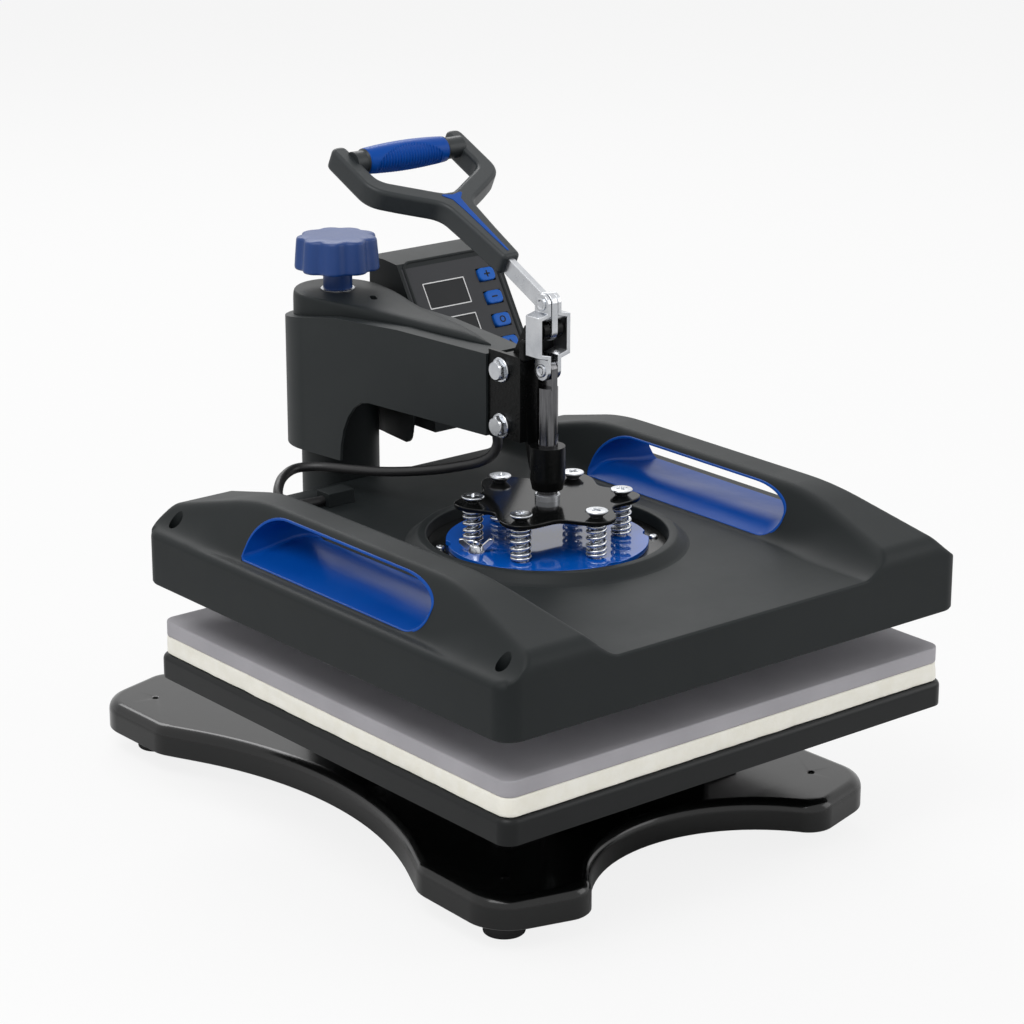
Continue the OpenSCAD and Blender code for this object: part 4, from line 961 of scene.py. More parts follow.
def makeHousing(form, slot):
    low, high = boxOf("housing")
    half = (high.x - low.x) / 2
    midY = (low.y + high.y) / 2
    xs = gridLines(form, half, form["sideEdge"], form["gridX"])
    ys = gridLines(form, half, form["frontEdge"], form["gridY"])
    verts = [lidPoint(form, half, x, y) for y in ys for x in xs]
    w, h = len(xs), len(ys)
    faces = [[j * w + i, j * w + i + 1, (j + 1) * w + i + 1, (j + 1) * w + i]
             for j in range(h - 1) for i in range(w - 1)]
    rim = (list(range(w)) + [j * w + w - 1 for j in range(1, h)]
           + [(h - 1) * w + i for i in range(w - 2, -1, -1)] + [j * w for j in range(h - 2, 0, -1)])
    border = [verts[i] for i in rim]
    down = []
    for inset, h in form["skirtRound"]:
        share = 1 - inset / half
        down.append([(x * share, y * share, low.z + h) for x, y, z in border])
    wall = form["wall"]
    inner = [(x * (half - wall) / half, y * (half - wall) / half) for x, y, z in border]
    down += [flat(inner, low.z), flat(inner, form["ceiling"])]
    ring = rim
    for level in down:
        start = len(verts)
        verts += level
        fresh = list(range(start, start + len(level)))
        for i in range(len(fresh)):
            n = (i + 1) % len(fresh)
            faces.append([ring[i], ring[n], fresh[n], fresh[i]])
        ring = fresh
    faces.append(ring)
    rightSlot = slotCutter(form, slot)
    openings = [cylinder(*form["well"], 96), rightSlot, moved(rightSlot, mirror)]
    for lowest, highest in solidsOf("housing_screws"):
        x, y = (lowest.x + highest.x) / 2, (lowest.y + highest.y) / 2 - midY
        openings.append(shifted(cylinder(*form["screwHole"], 28), x, y))
    shell = cut((verts, faces), *openings)
    addPiece("housingShell", shifted(shell, y=midY), "mattePlastic", "housing", crease=32)
    levels = {"foot": form["lid"], "top": form["lid"] + form["collarRise"]}
    section = [(form["collarR"][side] + out, levels[level] + up)
               for side, out, level, up in form["collarSection"]]
    addPiece("housingCollar", shifted(revolved(section, 128, loop=True), y=midY), "mattePlastic", "housing")


makeHousing(housingForm, handSlot)
print("housing made")


def makeSlotLining(form, slot, node, left):
    rings = [slotRing(form, slot, 0, *step) for step in slot["lip"]]
    for k in range(1, slot["steps"]):
        depth = k / slot["steps"]
        swell = math.sin(math.pi * depth ** 2)
        rings.append(slotRing(form, slot, depth, -slot["narrow"] * swell, 0, slot["lift"] * swell))
    rings += [slotRing(form, slot, 1, *step) for step in slot["lip"][::-1]]
    rings += [slotRing(form, slot, depth, *slot["back"]) for depth in slot["backDepths"]]
    shape = loft(rings, loop=True)
    if left:
        shape = moved(shape, mirror)
    addPiece(node + "Lining", shifted(shape, y=middleOf("housing").y), "royalBlue", node, crease=50)


makeSlotLining(housingForm, handSlot, "hand_slot_right", False)
makeSlotLining(housingForm, handSlot, "hand_slot_left", True)
print("hand slots lined")


# Bolts, screws and nuts

flangeBolt = {"along": "Z", "head": 5.3, "across": 13.0, "flange": 15.5, "shank": 8.0}
boltKinds = {
    "guide_bolts": {"name": "bracketBolts", "along": "X", "head": 6.0, "across": 12.6, "flange": 17.2,
                    "shank": 8.0},
    "stand_bolts": {"name": "standBolts", **flangeBolt},
    "column_bolts": {"name": "columnBolts", **flangeBolt},
}
boltForm = {
    # Crown of the head: its share of the flats, and its upper and lower end from the head's top
    "perSide": 8, "crown": 0.94, "crownZ": (0.05, 0.95), "headFoot": -1.0,
    # Rim under the head: how far drawn in, and height; then the start and the taper of the shank
    "rim": [(0.5, -1.7), (0, -1.2), (0, -0.2), (0.2, 0)], "shankStart": -0.5, "taper": 0.8,
}
underTray = 60.0  # bolts above this height are put in from below


def hexBolt(kind, form, length):
    # Head on the low side, its top at -head, and the shank up along Z
    head, across = kind["head"], kind["across"]
    plan = circle(across / 2 / math.cos(math.pi / 6), 6)
    perSide = form["perSide"]
    crownTop, crownFoot = [z - head for z in form["crownZ"]]
    limits = {crownTop: across / 2 * form["crown"], crownFoot: math.inf, form["headFoot"]: math.inf}
    rings = []
    for h, limit in limits.items():
        ring = []
        for i in range(6):
            a, b = Vector(plan[i]), Vector(plan[(i + 1) % 6])
            for k in range(perSide):
                p = a + (b - a) * k / perSide
                scale = min(1, limit / p.length)
                ring.append((p.x * scale, p.y * scale, h))
        rings.append(ring)
    rim, core, taper = kind["flange"] / 2, kind["shank"] / 2, form["taper"]
    washer = revolved([(rim - inset, h) for inset, h in form["rim"]], 40)
    shank = revolved([(core, form["shankStart"]), (core, length - taper), (core - taper, length)], 28)
    return merged(loft(rings), washer, shank)


def placeBolts(node, kind):
    head = kind["head"]
    parts = []
    for low, high in solidsOf(node):
        mid = (low + high) / 2
        length, turn, seat = high.z - low.z - head, turned(180, "X"), (mid.x, mid.y, high.z - head)
        if kind["along"] == "X":
            length, turn, seat = high.x - low.x - head, alongX, (low.x + head, mid.y, mid.z)
        elif mid.z > underTray:
            turn, seat = Matrix.Identity(4), (mid.x, mid.y, low.z + head)
        parts.append(shifted(moved(hexBolt(kind, boltForm, length), turn), *seat))
    addPiece(kind["name"], merged(*parts), "zincPlate", node)


for node, kind in boltKinds.items():
    placeBolts(node, kind)

screwKinds = {
    "spring_screws": {"name": "springScrews", "headD": 15.4, "headH": 4.6, "shank": 8.0, "sunk": True},
    "ring_screws": {"name": "ringScrews", "headD": 6.0, "headH": 2.0, "shank": 3.0},
    "housing_screws": {"name": "housingScrews", "headD": 8.8, "headH": 3.0, "shank": 5.0},
    "box_screws": {"name": "boxScrews", "headD": 6.0, "headH": 1.8, "shank": 3.0, "alongY": True},
}
screwTurns = (12, 37)  # the first screw's turn, and what each next one adds
# Sections of the heads: share of the radius and step out, share of the height and step up
screwHeads = {
    "sunk": [(1, -0.4, -0.3, 0), (1, 0, -0.22, 0), (1, 0, -0.1, 0), (1, -0.5, 0, 0), (0.5, 0, 0, 0.25)],
    "pan": [(1, 0, -1, 0), (1, 0, -0.5, 0), (0.86, 0, -0.18, 0), (0.55, 0, 0, 0)],
}
# Cross recess: length and depth as shares of the head, width as a share of the length.
# At its foot the length and the width shrink; the corners are shares of the width.
recessForm = {"length": 0.56, "depth": 0.22, "width": 0.26, "footLength": 0.45, "footWidth": 0.5,
              "footR": 0.2, "topR": 0.4, "above": 0.6}


def crossRecess(form, headD, headH):
    size = headD * form["length"]
    w = size * form["width"]
    low = roundedRect(size * form["footLength"], w * form["footWidth"], w * form["footR"], 2)
    high = roundedRect(size, w, w * form["topR"], 2)
    arm = loft([flat(low, -min(headH, headD * form["depth"])), flat(high, form["above"])])
    return [moved(arm, turned(turn, "Z")) for turn in (0, 90)]


def crossScrew(kind, length):
    # Top of the head at 0, shank down along -Z
    d, h, core = kind["headD"], kind["headH"], kind["shank"] / 2
    head = screwHeads["sunk" if kind.get("sunk") else "pan"]
    profile = [(core, -length), (core, -h)]
    profile += [(d / 2 * wide + out, h * tall + up) for wide, out, tall, up in head]
    return cut(revolved(profile, 40), *crossRecess(recessForm, d, h))


def placeScrews(node, kind):
    parts = []
    for k, (low, high) in enumerate(solidsOf(node)):
        mid = (low + high) / 2
        length, tilt, seat = high.z - low.z, Matrix.Identity(4), (mid.x, mid.y, high.z)
        if kind.get("alongY"):
            length, tilt, seat = high.y - low.y, alongY, (mid.x, high.y, mid.z)
        screw = moved(crossScrew(kind, length), turned(screwTurns[1] * k + screwTurns[0], "Z"))
        parts.append(shifted(moved(screw, tilt), *seat))
    addPiece(kind["name"], merged(*parts), "zincPlate", node)


for node, kind in screwKinds.items():
    placeScrews(node, kind)

# Nuts: across the flats, and bore; then the share left at their chamfers, and the chamfers' height
nutForm = {"guide": (14.0, 8.1), "spider": (17.0, 10.1), "chamfer": (0.93, 0.9)}


def hexNut(form, size, height):
    across, bore = form[size]
    share, rise = form["chamfer"]
    r = across / 2 / math.cos(math.pi / 6)
    levels = ((share, 0), (1, rise), (1, height - rise), (share, height))
    outer = [[(x * s, y * s, h) for x, y, z in circle(r, 6)] for s, h in levels]
    inner = [circle(bore / 2, 6, h) for h in (height, 0)]
    return loft(outer + inner, loop=True)


def placeNuts(form):
    parts = []
    for low, high in solidsOf("guide_nuts"):
        mid = (low + high) / 2
        nut = moved(hexNut(form, "guide", high.x - low.x), alongX)
        parts.append(shifted(nut, low.x, mid.y, mid.z))
    addPiece("bracketNuts", merged(*parts), "zincPlate", "guide_nuts")
    low, high = boxOf("spider_nut")
    mid = (low + high) / 2
    nut = shifted(hexNut(form, "spider", high.z - low.z), mid.x, mid.y, low.z)
    addPiece("spiderNut", nut, "zincPlate", "spider_nut")


placeNuts(nutForm)

# Rivets: each head has a raised ring round a sunk middle.
# Profile of a head: radius, and depth below its top.

rivetForm = {"seat": 1.8, "tall": 1.1, "pinR": 3.5, "tongue": 2.9, "head": [
    (4.5, 1.1), (4.5, 0.4), (4.2, 0.1), (3.6, 0.0), (3.0, 0.1), (2.5, 0.5), (1.9, 0.6), (1.1, 0.4)]}


def makeRivets(form):
    low, high = boxOf("link_rivets")
    upper = jointAt("link_turn")
    pin = min(solidsOf("link_rivets"), key=lambda b: b[0].z)
    lowerZ = (pin[0].z + pin[1].z) / 2
    head = moved(revolved([(r, form["tall"] - depth) for r, depth in form["head"]], 36), alongX)
    parts = []
    for z in (upper.z, lowerZ):
        parts.append(shifted(moved(head, mirror), low.x + form["seat"], upper.y, z))
        parts.append(shifted(head, high.x - form["seat"], upper.y, z))
    half = (high.x - low.x - 2 * form["seat"]) / 2
    parts.append(shifted(moved(cylinder(form["pinR"], -half, half, 28), alongX), 0, upper.y, upper.z))
    pin = moved(cylinder(form["pinR"], form["tongue"], half, 28), alongX)
    parts += [shifted(p, 0, upper.y, lowerZ) for p in (moved(pin, mirror), pin)]
    addPiece("linkRivets", merged(*parts), "zincPlate", "link_rivets")


makeRivets(rivetForm)

# Springs: closed end curls, with the pitch opening between them

springForm = {"wire": 2.3, "radius": 6.0, "curls": 6.5, "sides": 10, "perCurl": 26, "closing": 0.075}


def makeSprings(form):
    parts = []
    r, wire, curls = form["radius"], form["wire"], form["curls"]
    total = int(curls * form["perCurl"])
    for low, high in solidsOf("springs"):
        mid = (low + high) / 2
        rise = high.z - low.z - wire
        path = []
        for i in range(total + 1):
            t = i / total
            lift = t - form["closing"] * math.sin(2 * math.pi * t)
            a = 2 * math.pi * curls * t
            path.append(Vector((r * math.cos(a), r * math.sin(a), wire / 2 + rise * lift)))
        parts.append(shifted(tube(path, wire / 2, form["sides"]), mid.x, mid.y, low.z))
    piece = addPiece("pressureSprings", merged(*parts), "zincPlate", "springs", crease=60, weighted=False)
    low, high = boxOf("springs")
    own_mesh(piece)


makeSprings(springForm)

# Wing nut on its stud: heights are from the top of the disc

wingForm = {
    "hub": [(5.6, 0.0), (5.6, 1.2), (4.6, 4.6), (4.0, 5.2), (2.6, 5.4)],
    "stud": [(2.5, 7.4), (2.0, 8.0)],
    "wing": [(3.2, 1.2), (6.4, 1.4), (11.6, 6.6), (11.8, 9.6), (8.8, 9.8), (5.2, 6.4), (3.4, 5.0)],
    "cornerR": 2.2, "half": 1.3, "edge": 0.7, "turns": (-39, 141),
}


def makeWingNut(form):
    low, high = boxOf("wing_nut")
    mid = (low + high) / 2
    disc = boxOf("pressure_disc")[1].z
    hub = revolved([(r, disc + h) for r, h in form["hub"]], 32)
    stud = revolved([(form["stud"][0][0], low.z)] + [(r, disc + h) for r, h in form["stud"]], 24)
    blade = slabY(filleted(form["wing"], form["cornerR"]), -form["half"], form["half"])
    blade = eased(blade, form["edge"])
    wings = [shifted(moved(blade, turned(turn, "Z")), z=disc) for turn in form["turns"]]
    addPiece("wingNut", shifted(merged(hub, stud, *wings), mid.x, mid.y), "zincPlate", "wing_nut")


makeWingNut(wingForm)
print("fasteners and springs made")


# Pressure knob: nine lobes, a nearly flat top and a stem.
# Levels: height, share of the radius, share of the lobes' depth.

knobForm = {"lobes": 9, "dip": 3.2, "pinch": 1.5, "turn": 7.8, "steps": 216, "tall": 24.8, "levels": [
    (0.0, 0.955, 0.96), (0.3, 0.975, 1), (1.0, 0.993, 1), (2.2, 1.0, 1), (10.0, 0.982, 1), (18.0, 0.96, 1),
    (21.6, 0.948, 1), (22.5, 0.94, 1), (23.1, 0.926, 0.98), (23.5, 0.906, 0.94), (23.8, 0.878, 0.88),
    (24.1, 0.84, 0.76), (24.4, 0.78, 0.55), (24.65, 0.7, 0.3), (24.8, 0.6, 0.08), (24.75, 0.4, 0),
    (24.7, 0.05, 0)],
    # Stem: steps out from its radius, and up from its lower end or from the knob's foot
    "stemR": 10.6, "overlap": 2.0, "stemLow": [(-0.3, 0), (0, 0.4)],
    "stemHigh": [(0, -1.4), (0.5, -0.4), (1.6, 0.6)],
    # Ring round the stem: its top, and its upper edge as steps out from the stem and up from the top
    "ringTop": 337.1, "ringEdge": [(1.8, -0.6), (1.4, -0.2), (0.15, 0)]}


def makeKnob(form):
    low, high = boxOf("pressure_knob")
    mid = (low + high) / 2
    radius = (high.x - low.x) / 2
    foot = high.z - form["tall"]
    rings = []
    for h, scale, wave in form["levels"]:
        ring = []
        for i in range(form["steps"]):
            a = 2 * math.pi * i / form["steps"]
            valley = 0.5 + 0.5 * math.cos(form["lobes"] * (a - math.radians(form["turn"])))
            reach = radius * scale - form["dip"] * wave * valley ** form["pinch"]
            ring.append((reach * math.cos(a), reach * math.sin(a), foot + h))
        rings.append(ring)
    r, ringTop = form["stemR"], form["ringTop"]
    start = min(low.z, ringTop - form["overlap"])
    stem = [(r + out, start + up) for out, up in form["stemLow"]]
    stem += [(r + out, foot + up) for out, up in form["stemHigh"]]
    knob = shifted(merged(loft(rings), revolved(stem, 56)), mid.x, mid.y)
    addPiece("pressureKnob", knob, "knobBlue", "pressure_knob")
    edge = [(r + out, ringTop + up) for out, up in form["ringEdge"]]
    nutLow = boxOf("screw_nut")[0].z
    ring = [(edge[-1][0], nutLow), (edge[0][0], nutLow)] + edge
    nut = shifted(revolved(ring, 56, loop=True), mid.x, mid.y)
    addPiece("screwNut", nut, "zincPlate", "screw_nut")


makeKnob(knobForm)
print("knob made")


# Cover on the arm: a round-backed ridge that runs out to a point, cut flat under the knob.
# Rows: distance in front of the knob's axis, half width, crest, top of the arm's shell, squareness.

coverForm = {"flat": 336.0, "soft": 2.4, "holeR": 12.6, "backR": 32.5, "sink": 5.0, "rows": [
    (176, 0.4, 330.2, 329.0, 2.0), (170, 2.4, 331.4, 329.4, 2.0), (160, 4.8, 333.2, 329.6, 2.0),
    (146, 7.6, 334.9, 329.9, 2.0), (128, 10.6, 336.3, 330.1, 2.0), (110, 12.8, 337.2, 330.0, 2.1),
    (92, 15.0, 337.8, 329.5, 2.3), (76, 18.0, 338.2, 328.7, 2.6), (60, 21.8, 338.8, 327.8, 3.2),
    (44, 25.6, 339.4, 326.8, 4.5), (28, 29.0, 340.0, 324.8, 6.0), (12, 31.6, 340.0, 322.2, 7.0),
    (0, 32.5, 340.0, 320.0, 7.0)], "rowSteps": 3, "backSteps": 12, "backTurn": 89.5, "backFall": 0.16,
    "ringSteps": 28, "holeZ": (300.0, 360.0), "slotAt": (3.0, -39.0), "slotTurn": 62,
    "slotSize": (12.0, 4.4), "slotR": 2.15, "slotZ": (331.0, 345.0)}


def coverRing(form, y, half, crest, base, square):
    steps = form["ringSteps"]
    ring = []
    for k in range(steps + 1):
        a = math.pi * k / steps
        c, s = math.cos(a), math.sin(a)
        x = half * math.copysign(abs(c) ** (2 / square), c)
        z = base + (crest - base) * abs(s) ** (2 / square)
        ring.append((x, y, softMin(z, form["flat"], form["soft"])))
    low = base - form["sink"]
    return ring + [(-half, y, low), (half, y, low)]


def makeCover(form):
    axis = jointAt("knob_turn")
    rows, fine = form["rows"], form["rowSteps"]
    dense = []
    for a, b in zip(rows, rows[1:]):
        dense += [[p + (q - p) * k / fine for p, q in zip(a, b)] for k in range(fine)]
    rings = [coverRing(form, -ahead, *rest) for ahead, *rest in dense + [rows[-1]]]
    crest, base, square = rows[-1][2:]
    for k in range(1, form["backSteps"] + 1):
        t = math.radians(form["backTurn"] * k / form["backSteps"])
        back = form["backR"] * math.sin(t)
        half = form["backR"] * math.cos(t)
        rings.append(coverRing(form, back, half, crest, base - form["backFall"] * back, square))
    hole = cylinder(form["holeR"], *form["holeZ"], 48)
    slot = prism(roundedRect(*form["slotSize"], form["slotR"], 5), *form["slotZ"])
    slot = shifted(moved(slot, turned(form["slotTurn"], "Z")), *form["slotAt"])
    body = cut(loft(rings), hole, slot)
    addPiece("armCover", shifted(body, axis.x, axis.y), "mattePlastic", "arm_cover", crease=40)


makeCover(coverForm)
print("arm cover made")


# Spider: a plate with six soft lobes, one under each screw, and the foot of the rod on it

spiderForm = {"mean": 55.4, "wave": 8.2, "lobes": 6, "steps": 180, "edge": 0.7,
              "rodHole": 6.2, "screwHole": 4.3, "spare": 5.0,
              "foot": [(8.6, 0.0), (8.6, 3.6), (8.3, 3.9), (7.0, 4.0)]}


def makeSpider(form):
    low, high = boxOf("spider")
    mid = (low + high) / 2
    screws = [(a + b) / 2 - mid for a, b in solidsOf("spring_screws")]
    first = math.atan2(screws[0].y, screws[0].x)
    outline = []
    for i in range(form["steps"]):
        a = 2 * math.pi * i / form["steps"]
        r = form["mean"] + form["wave"] * math.cos(form["lobes"] * (a - first))
        outline.append((r * math.cos(a), r * math.sin(a)))
    plate = eased(prism(outline, low.z, high.z), form["edge"], 3, 60)
    through = low.z - form["spare"], high.z + form["spare"]
    holes = [shifted(cylinder(form["screwHole"], *through, 24), s.x, s.y) for s in screws]
    holes.append(cylinder(form["rodHole"], *through, 32))
    addPiece("spiderPlate", shifted(cut(plate, *holes), mid.x, mid.y), "spiderPaint", "spider")
    foot = shifted(revolved([(r, high.z + h) for r, h in form["foot"]], 40), mid.x, mid.y)
    addPiece("rodFoot", foot, "zincPlate", "plunger_rod", replace=False)


makeSpider(spiderForm)
print("spider made")


# Handle: a forked frame, a ribbed grip between its ends and a blue inlay.
# Drawn flat from the link's pin, then leaned back, and from its foot on a little to the left.

handleForm = {
    "tilt": 26.0, "lean": -0.02, "foot": 44.5, "low": -8.8, "high": 7.2, "edge": 3.6,
    "gripAt": 168.5, "gripRise": 3.5, "gripX": -2.6, "gripLength": 68.5, "gripR": 10.5, "coreR": 7.6,
    # The fork: its width and bars, and where it bends, starts to widen and ends, seen from the grip
    "forkW": 112.0, "barW": 12.5, "bend": -31.5, "stem": -67.5, "tip": 15.5,
    # Right half of its outline: steps out from a side and on from a place, and the corner's radius
    "outline": [
        ("middle", 7.5, "foot", 0, 4), ("middle", 9.3, "foot", 31.5, 30), ("middle", 11.8, "stem", 6, 15),
        ("outside", -19, "bend", -15.5, 28), ("outside", 0, "bend", -3.5, 22), ("outside", 0, "tip", 0, 9),
        ("inside", 0, "tip", 0, 5), ("inside", 0, "bend", 5, 13), ("middle", 10, "bend", -14.5, 8),
        ("middle", 4, "bend", -17.5, 6)],
    # Core of the grip: how far it goes into the bars, then half of its length from the grip's end:
    # steps along towards the bar, and out from its radius
    "coreInto": 3.0, "core": [(1.2, 0), (0, 1.2), (-2, -1)],
}
gripForm = {
    "steps": 96, "rows": 230, "swell": 1.6, "endRound": 1.6, "endDrop": 1.2,
    # Ribbed patch: where it faces, its half length and half turn, how fast it fades in, and the ribs
    "patchAt": 185, "patchLength": 29.0, "patchTurn": 90, "patchFade": 7.0, "ribDepth": 0.6, "ribPitch": 2.4,
}


def handlePlace(form):
    lean = Matrix.Identity(4)
    lean[0][1] = form["lean"]
    lean[0][3] = -form["lean"] * form["foot"]
    return Matrix.Translation(jointAt("link_turn")) @ turned(form["tilt"], "X") @ lean


def makeHandle(form):
    half = form["forkW"] / 2
    sides = {"middle": 0, "outside": half, "inside": half - form["barW"]}
    places = {key: form["gripAt"] + form[key] for key in ("bend", "stem", "tip")}
    places["foot"] = form["foot"]
    whole = bothSides([(sides[side] + out, places[place] + on, r)
                       for side, out, place, on, r in form["outline"]])
    outline = filleted([p[:2] for p in whole], [p[2] for p in whole], 8)
    body = eased(prism(outline, form["low"], form["high"]), form["edge"], 4, 50)
    reach = sides["inside"] + form["coreInto"]
    r = form["coreR"]
    left, far = form["gripX"] - form["gripLength"] / 2, form["gripX"] + form["gripLength"] / 2
    profile = [(r, -reach)] + [(r + out, left - on) for on, out in form["core"]]
    profile += [(r + out, far + on) for on, out in form["core"][::-1]] + [(r, reach)]
    core = shifted(moved(revolved(profile, 40), alongX), y=form["gripAt"], z=form["gripRise"])
    addPiece("handleFork", moved(merged(body, core), handlePlace(form)), "handlePlasticPaintedLight", "handle_frame")


def makeGrip(form, grip):
    # A barrel with a ribbed oval patch on its front
    steps, rows, deep = grip["steps"], grip["rows"], grip["ribDepth"]
    half = form["gripLength"] / 2
    rings = []
    for j in range(rows + 1):
        x = -half + form["gripLength"] * j / rows
        end = max(0, abs(x) - half + grip["endRound"]) / grip["endRound"]
        barrel = form["gripR"] - grip["swell"] * (x / half) ** 2
        barrel -= grip["endDrop"] * (1 - math.sqrt(max(0, 1 - end * end)))
        ring = []
        for i in range(steps):
            a = 2 * math.pi * i / steps
            off = (a - math.radians(grip["patchAt"]) + math.pi) % (2 * math.pi) - math.pi
            patch = (x / grip["patchLength"]) ** 2 + (off / math.radians(grip["patchTurn"])) ** 2
            inside = min(1, max(0, (1 - patch) * grip["patchFade"]))
            r = barrel - inside * (deep + deep * math.cos(2 * math.pi * x / grip["ribPitch"]))
            ring.append((x, r * math.cos(a), r * math.sin(a)))
        rings.append(ring)
    shape = shifted(loft(rings), form["gripX"], form["gripAt"], form["gripRise"])
    shape = moved(shape, handlePlace(form))
    addPiece("handleGrip", shape, "royalBlue", "handle_grip", crease=70, weighted=False)


inlayForm = {"cornerR": 2.0, "sunk": 1.2, "proud": 0.35, "edge": 0.3,
             # Right half of its outline: half width, and steps on from a bend of the fork
             "outline": [(0.8, "stem", -51), (2.3, "stem", -4), (3.5, "stem", 9), (10.6, "bend", -19.6),
                         (0, "bend", -22)]}


def makeInlay(form, inlay):
    right = [(x, form["gripAt"] + form[place] + on) for x, place, on in inlay["outline"]]
    outline = filleted(right + [(-x, y) for x, y in right[-2::-1]], inlay["cornerR"], 4)
    shape = prism(outline, form["high"] - inlay["sunk"], form["high"] + inlay["proud"])
    shape = moved(eased(shape, inlay["edge"], 2, 50), handlePlace(form))
    addPiece("handleInlay", shape, "royalBlue", "handle_inlay")


makeHandle(handleForm)
makeGrip(handleForm, gripForm)
makeInlay(handleForm, inlayForm)
print("handle made")


# Control panel: frames round the displays, and buttons with plain signs

panelForm = {
    "tilt": 59.0, "thick": 1.5,
    # Frames: width, height, line; they reach from below the panel's face to just above it
    "displayX": -10.5, "displayY": 13.0, "displayStep": 28.0,
    "frame": (38.2, 20.2, 0.75), "frameR": (0.5, 0.3), "frameZ": (-0.2, 0.12),
    # Buttons: width, height, how far they stand out; their upper edge, drawn in and below the face
    "buttonX": 29.0, "buttonTop": 21.5, "buttonStep": 18.0, "button": (15.0, 10.0, 2.0), "buttonR": 3.4,
    "buttonFoot": -4.0, "buttonEdge": [(0, 0.9), (0.25, 0.4), (0.8, 0.08), (1.6, 0)],
    # The signs lie in the buttons' faces: a bar's length, width and corner, a ring's radii, an arrow
    "signZ": (-0.3, 0.22), "signBar": (5.2, 1.1, 0.3), "signRing": (1.7, 2.6),
    "signArrow": [(-2.4, -1.4), (2.4, -1.4), (0, 2.2)],
    # Bead: width, height, corner; then how far in, and how high
    "border": (84.0, 84.0, 7.0),
    "bead": [(0, -0.6), (0, 0.5), (0.5, 0.9), (1.5, 0.9), (2.0, 0.5), (2.0, -0.6)],
}


def panelPlace(form):
    tilt = turned(form["tilt"], "X")
    face = tilt @ Vector((0, 0, form["thick"] / 2))
    return Matrix.Translation(middleOf("front_panel") + face) @ tilt


def makeDisplayFrames(form):
    w, h, line = form["frame"]
    low, high = form["frameZ"]
    outerR, innerR = form["frameR"]
    outer = roundedRect(w, h, outerR, 2)
    inner = roundedRect(w - 2 * line, h - 2 * line, innerR, 2)
    ring = loft([flat(outer, low), flat(outer, high), flat(inner, high), flat(inner, low)], loop=True)
    parts = [shifted(ring, form["displayX"], form["displayY"] - k * form["displayStep"]) for k in (0, 1)]
    shape = moved(merged(*parts), panelPlace(form))
    addPiece("displayFrames", shape, "whitePrint", "front_panel", replace=False)


def makeButtons(form):
    w, h, high = form["button"]
    low, top = [high + z for z in form["signZ"]]
    bar = prism(roundedRect(*form["signBar"], 2), low, top)
    inR, outR = form["signRing"]
    signs = {
        "button_up": merged(bar, moved(bar, turned(90, "Z"))),
        "button_down": bar,
        "button_set": revolved([(inR, low), (inR, top), (outR, top), (outR, low)], 28, loop=True),
        "button_count": prism(form["signArrow"], low, top),
    }
    levels = [(0, form["buttonFoot"])] + [(inset, high - depth) for inset, depth in form["buttonEdge"]]
    cap = loft(stacked(w, h, form["buttonR"], levels, 6))
    for k, (node, sign) in enumerate(signs.items()):
        spot = (form["buttonX"], form["buttonTop"] - k * form["buttonStep"], 0)
        place = panelPlace(form) @ Matrix.Translation(spot)
        addPiece(node + "Cap", moved(cap, place), "buttonBlue", node)
        addPiece(node + "Sign", moved(sign, place), "mattePlastic", node, replace=False)


def makePanelBorder(form):
    # Raised bead round the panel
    bead = loft(stacked(*form["border"], form["bead"], 8), loop=True)
    addPiece("panelBorder", moved(bead, panelPlace(form)), "mattePlastic", "control_box", replace=False)


makeDisplayFrames(panelForm)
makePanelBorder(panelForm)
makeButtons(panelForm)
print("control panel made")


# Floor, light and background

studio = {"floorHalf": 24.0, "floorTone": 0.86, "floorSeen": 0.85, "worldLight": 0.47,
          "lampAim": (0, 0, 0.2)}
lamps = {
    "keyBox": {"at": (-1.2, -0.6, 2.2), "size": (1.6, 1.2), "power": 26},
    "fillBox": {"at": (1.9, -1.6, 1.2), "size": (1.4, 1.4), "power": 11},
    "backBox": {"at": (0.8, 2.0, 1.9), "size": (2.0, 0.8), "power": 20},
}


def grey(tone):
    return (tone, tone, tone, 1)


def addShader(tree, kind, tone, strength=None):
    node = tree.nodes.new(kind)
    node.inputs["Color"].default_value = grey(tone)
    if strength is not None:
        node.inputs["Strength"].default_value = strength
    return node.outputs[0]


def addMath(tree, operation, a, b):
    node = tree.nodes.new("ShaderNodeMath")
    node.operation = operation
    feed(tree, node.inputs[0], a)
    feed(tree, node.inputs[1], b)
    return node.outputs["Value"]


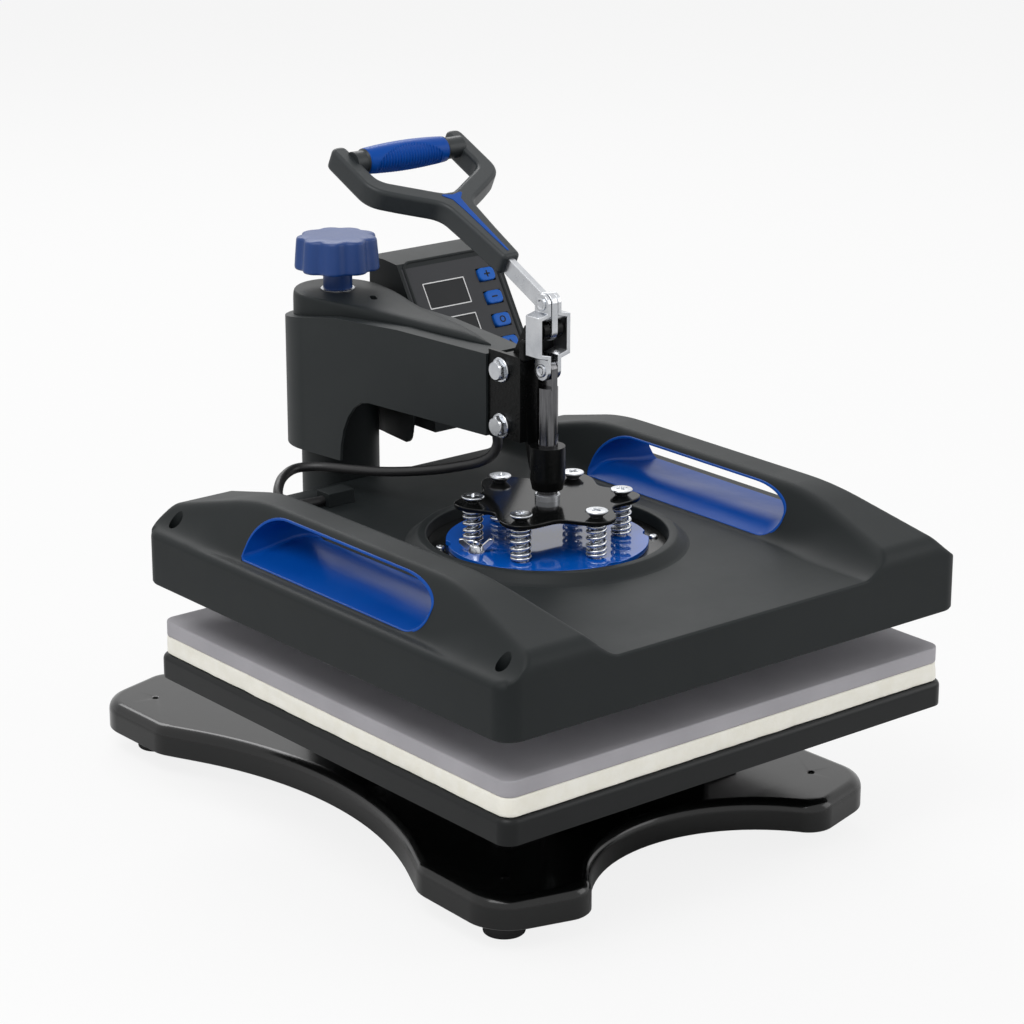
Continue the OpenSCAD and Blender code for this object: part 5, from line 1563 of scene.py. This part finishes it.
def mixShaders(tree, output, share, first, second):
    mix = tree.nodes.new("ShaderNodeMixShader")
    for socket, value in zip(mix.inputs, (share, first, second)):
        tree.links.new(value, socket)
    tree.links.new(mix.outputs["Shader"], tree.nodes.new(output).inputs["Surface"])


def makeFloor(look):
    mesh = bpy.data.meshes.new("floor")
    far = look["floorHalf"]
    mesh.from_pydata([(-far, -far, 0), (far, -far, 0), (far, far, 0), (-far, far, 0)], [], [(0, 1, 2, 3)])
    floor = bpy.data.objects.new("floor", mesh)
    bpy.context.scene.collection.objects.link(floor)
    material = bpy.data.materials.new("paleFloor")
    material.use_nodes = True
    tree = material.node_tree
    tree.nodes.clear()
    ray = tree.nodes.new("ShaderNodeLightPath").outputs
    seen = addMath(tree, "MULTIPLY", ray["Is Camera Ray"], look["floorSeen"])
    pale = addShader(tree, "ShaderNodeBsdfDiffuse", look["floorTone"])
    white = addShader(tree, "ShaderNodeEmission", 1)
    mixShaders(tree, "ShaderNodeOutputMaterial", seen, pale, white)
    mesh.materials.append(material)


def makeWorld(look):
    world = bpy.data.worlds.new("studio")
    bpy.context.scene.world = world
    world.use_nodes = True
    tree = world.node_tree
    tree.nodes.clear()
    ray = tree.nodes.new("ShaderNodeLightPath").outputs
    through = addMath(tree, "MAXIMUM", ray["Is Camera Ray"], ray["Is Transmission Ray"])
    seen = addMath(tree, "MAXIMUM", through, ray["Is Glossy Ray"])
    light = addShader(tree, "ShaderNodeBackground", 1, look["worldLight"])
    white = addShader(tree, "ShaderNodeBackground", 1, 1)
    mixShaders(tree, "ShaderNodeOutputWorld", seen, light, white)


def makeLamp(name, lamp, target):
    data = bpy.data.lights.new(name, "AREA")
    data.shape = "RECTANGLE"
    data.size, data.size_y = lamp["size"]
    data.energy = lamp["power"]
    putAndAim(bpy.data.objects.new(name, data), lamp["at"], target)


makeFloor(studio)
makeWorld(studio)
for name, lamp in lamps.items():
    makeLamp(name, lamp, studio["lampAim"])
bpy.context.scene.view_settings.view_transform = "Standard"
print("studio lit")
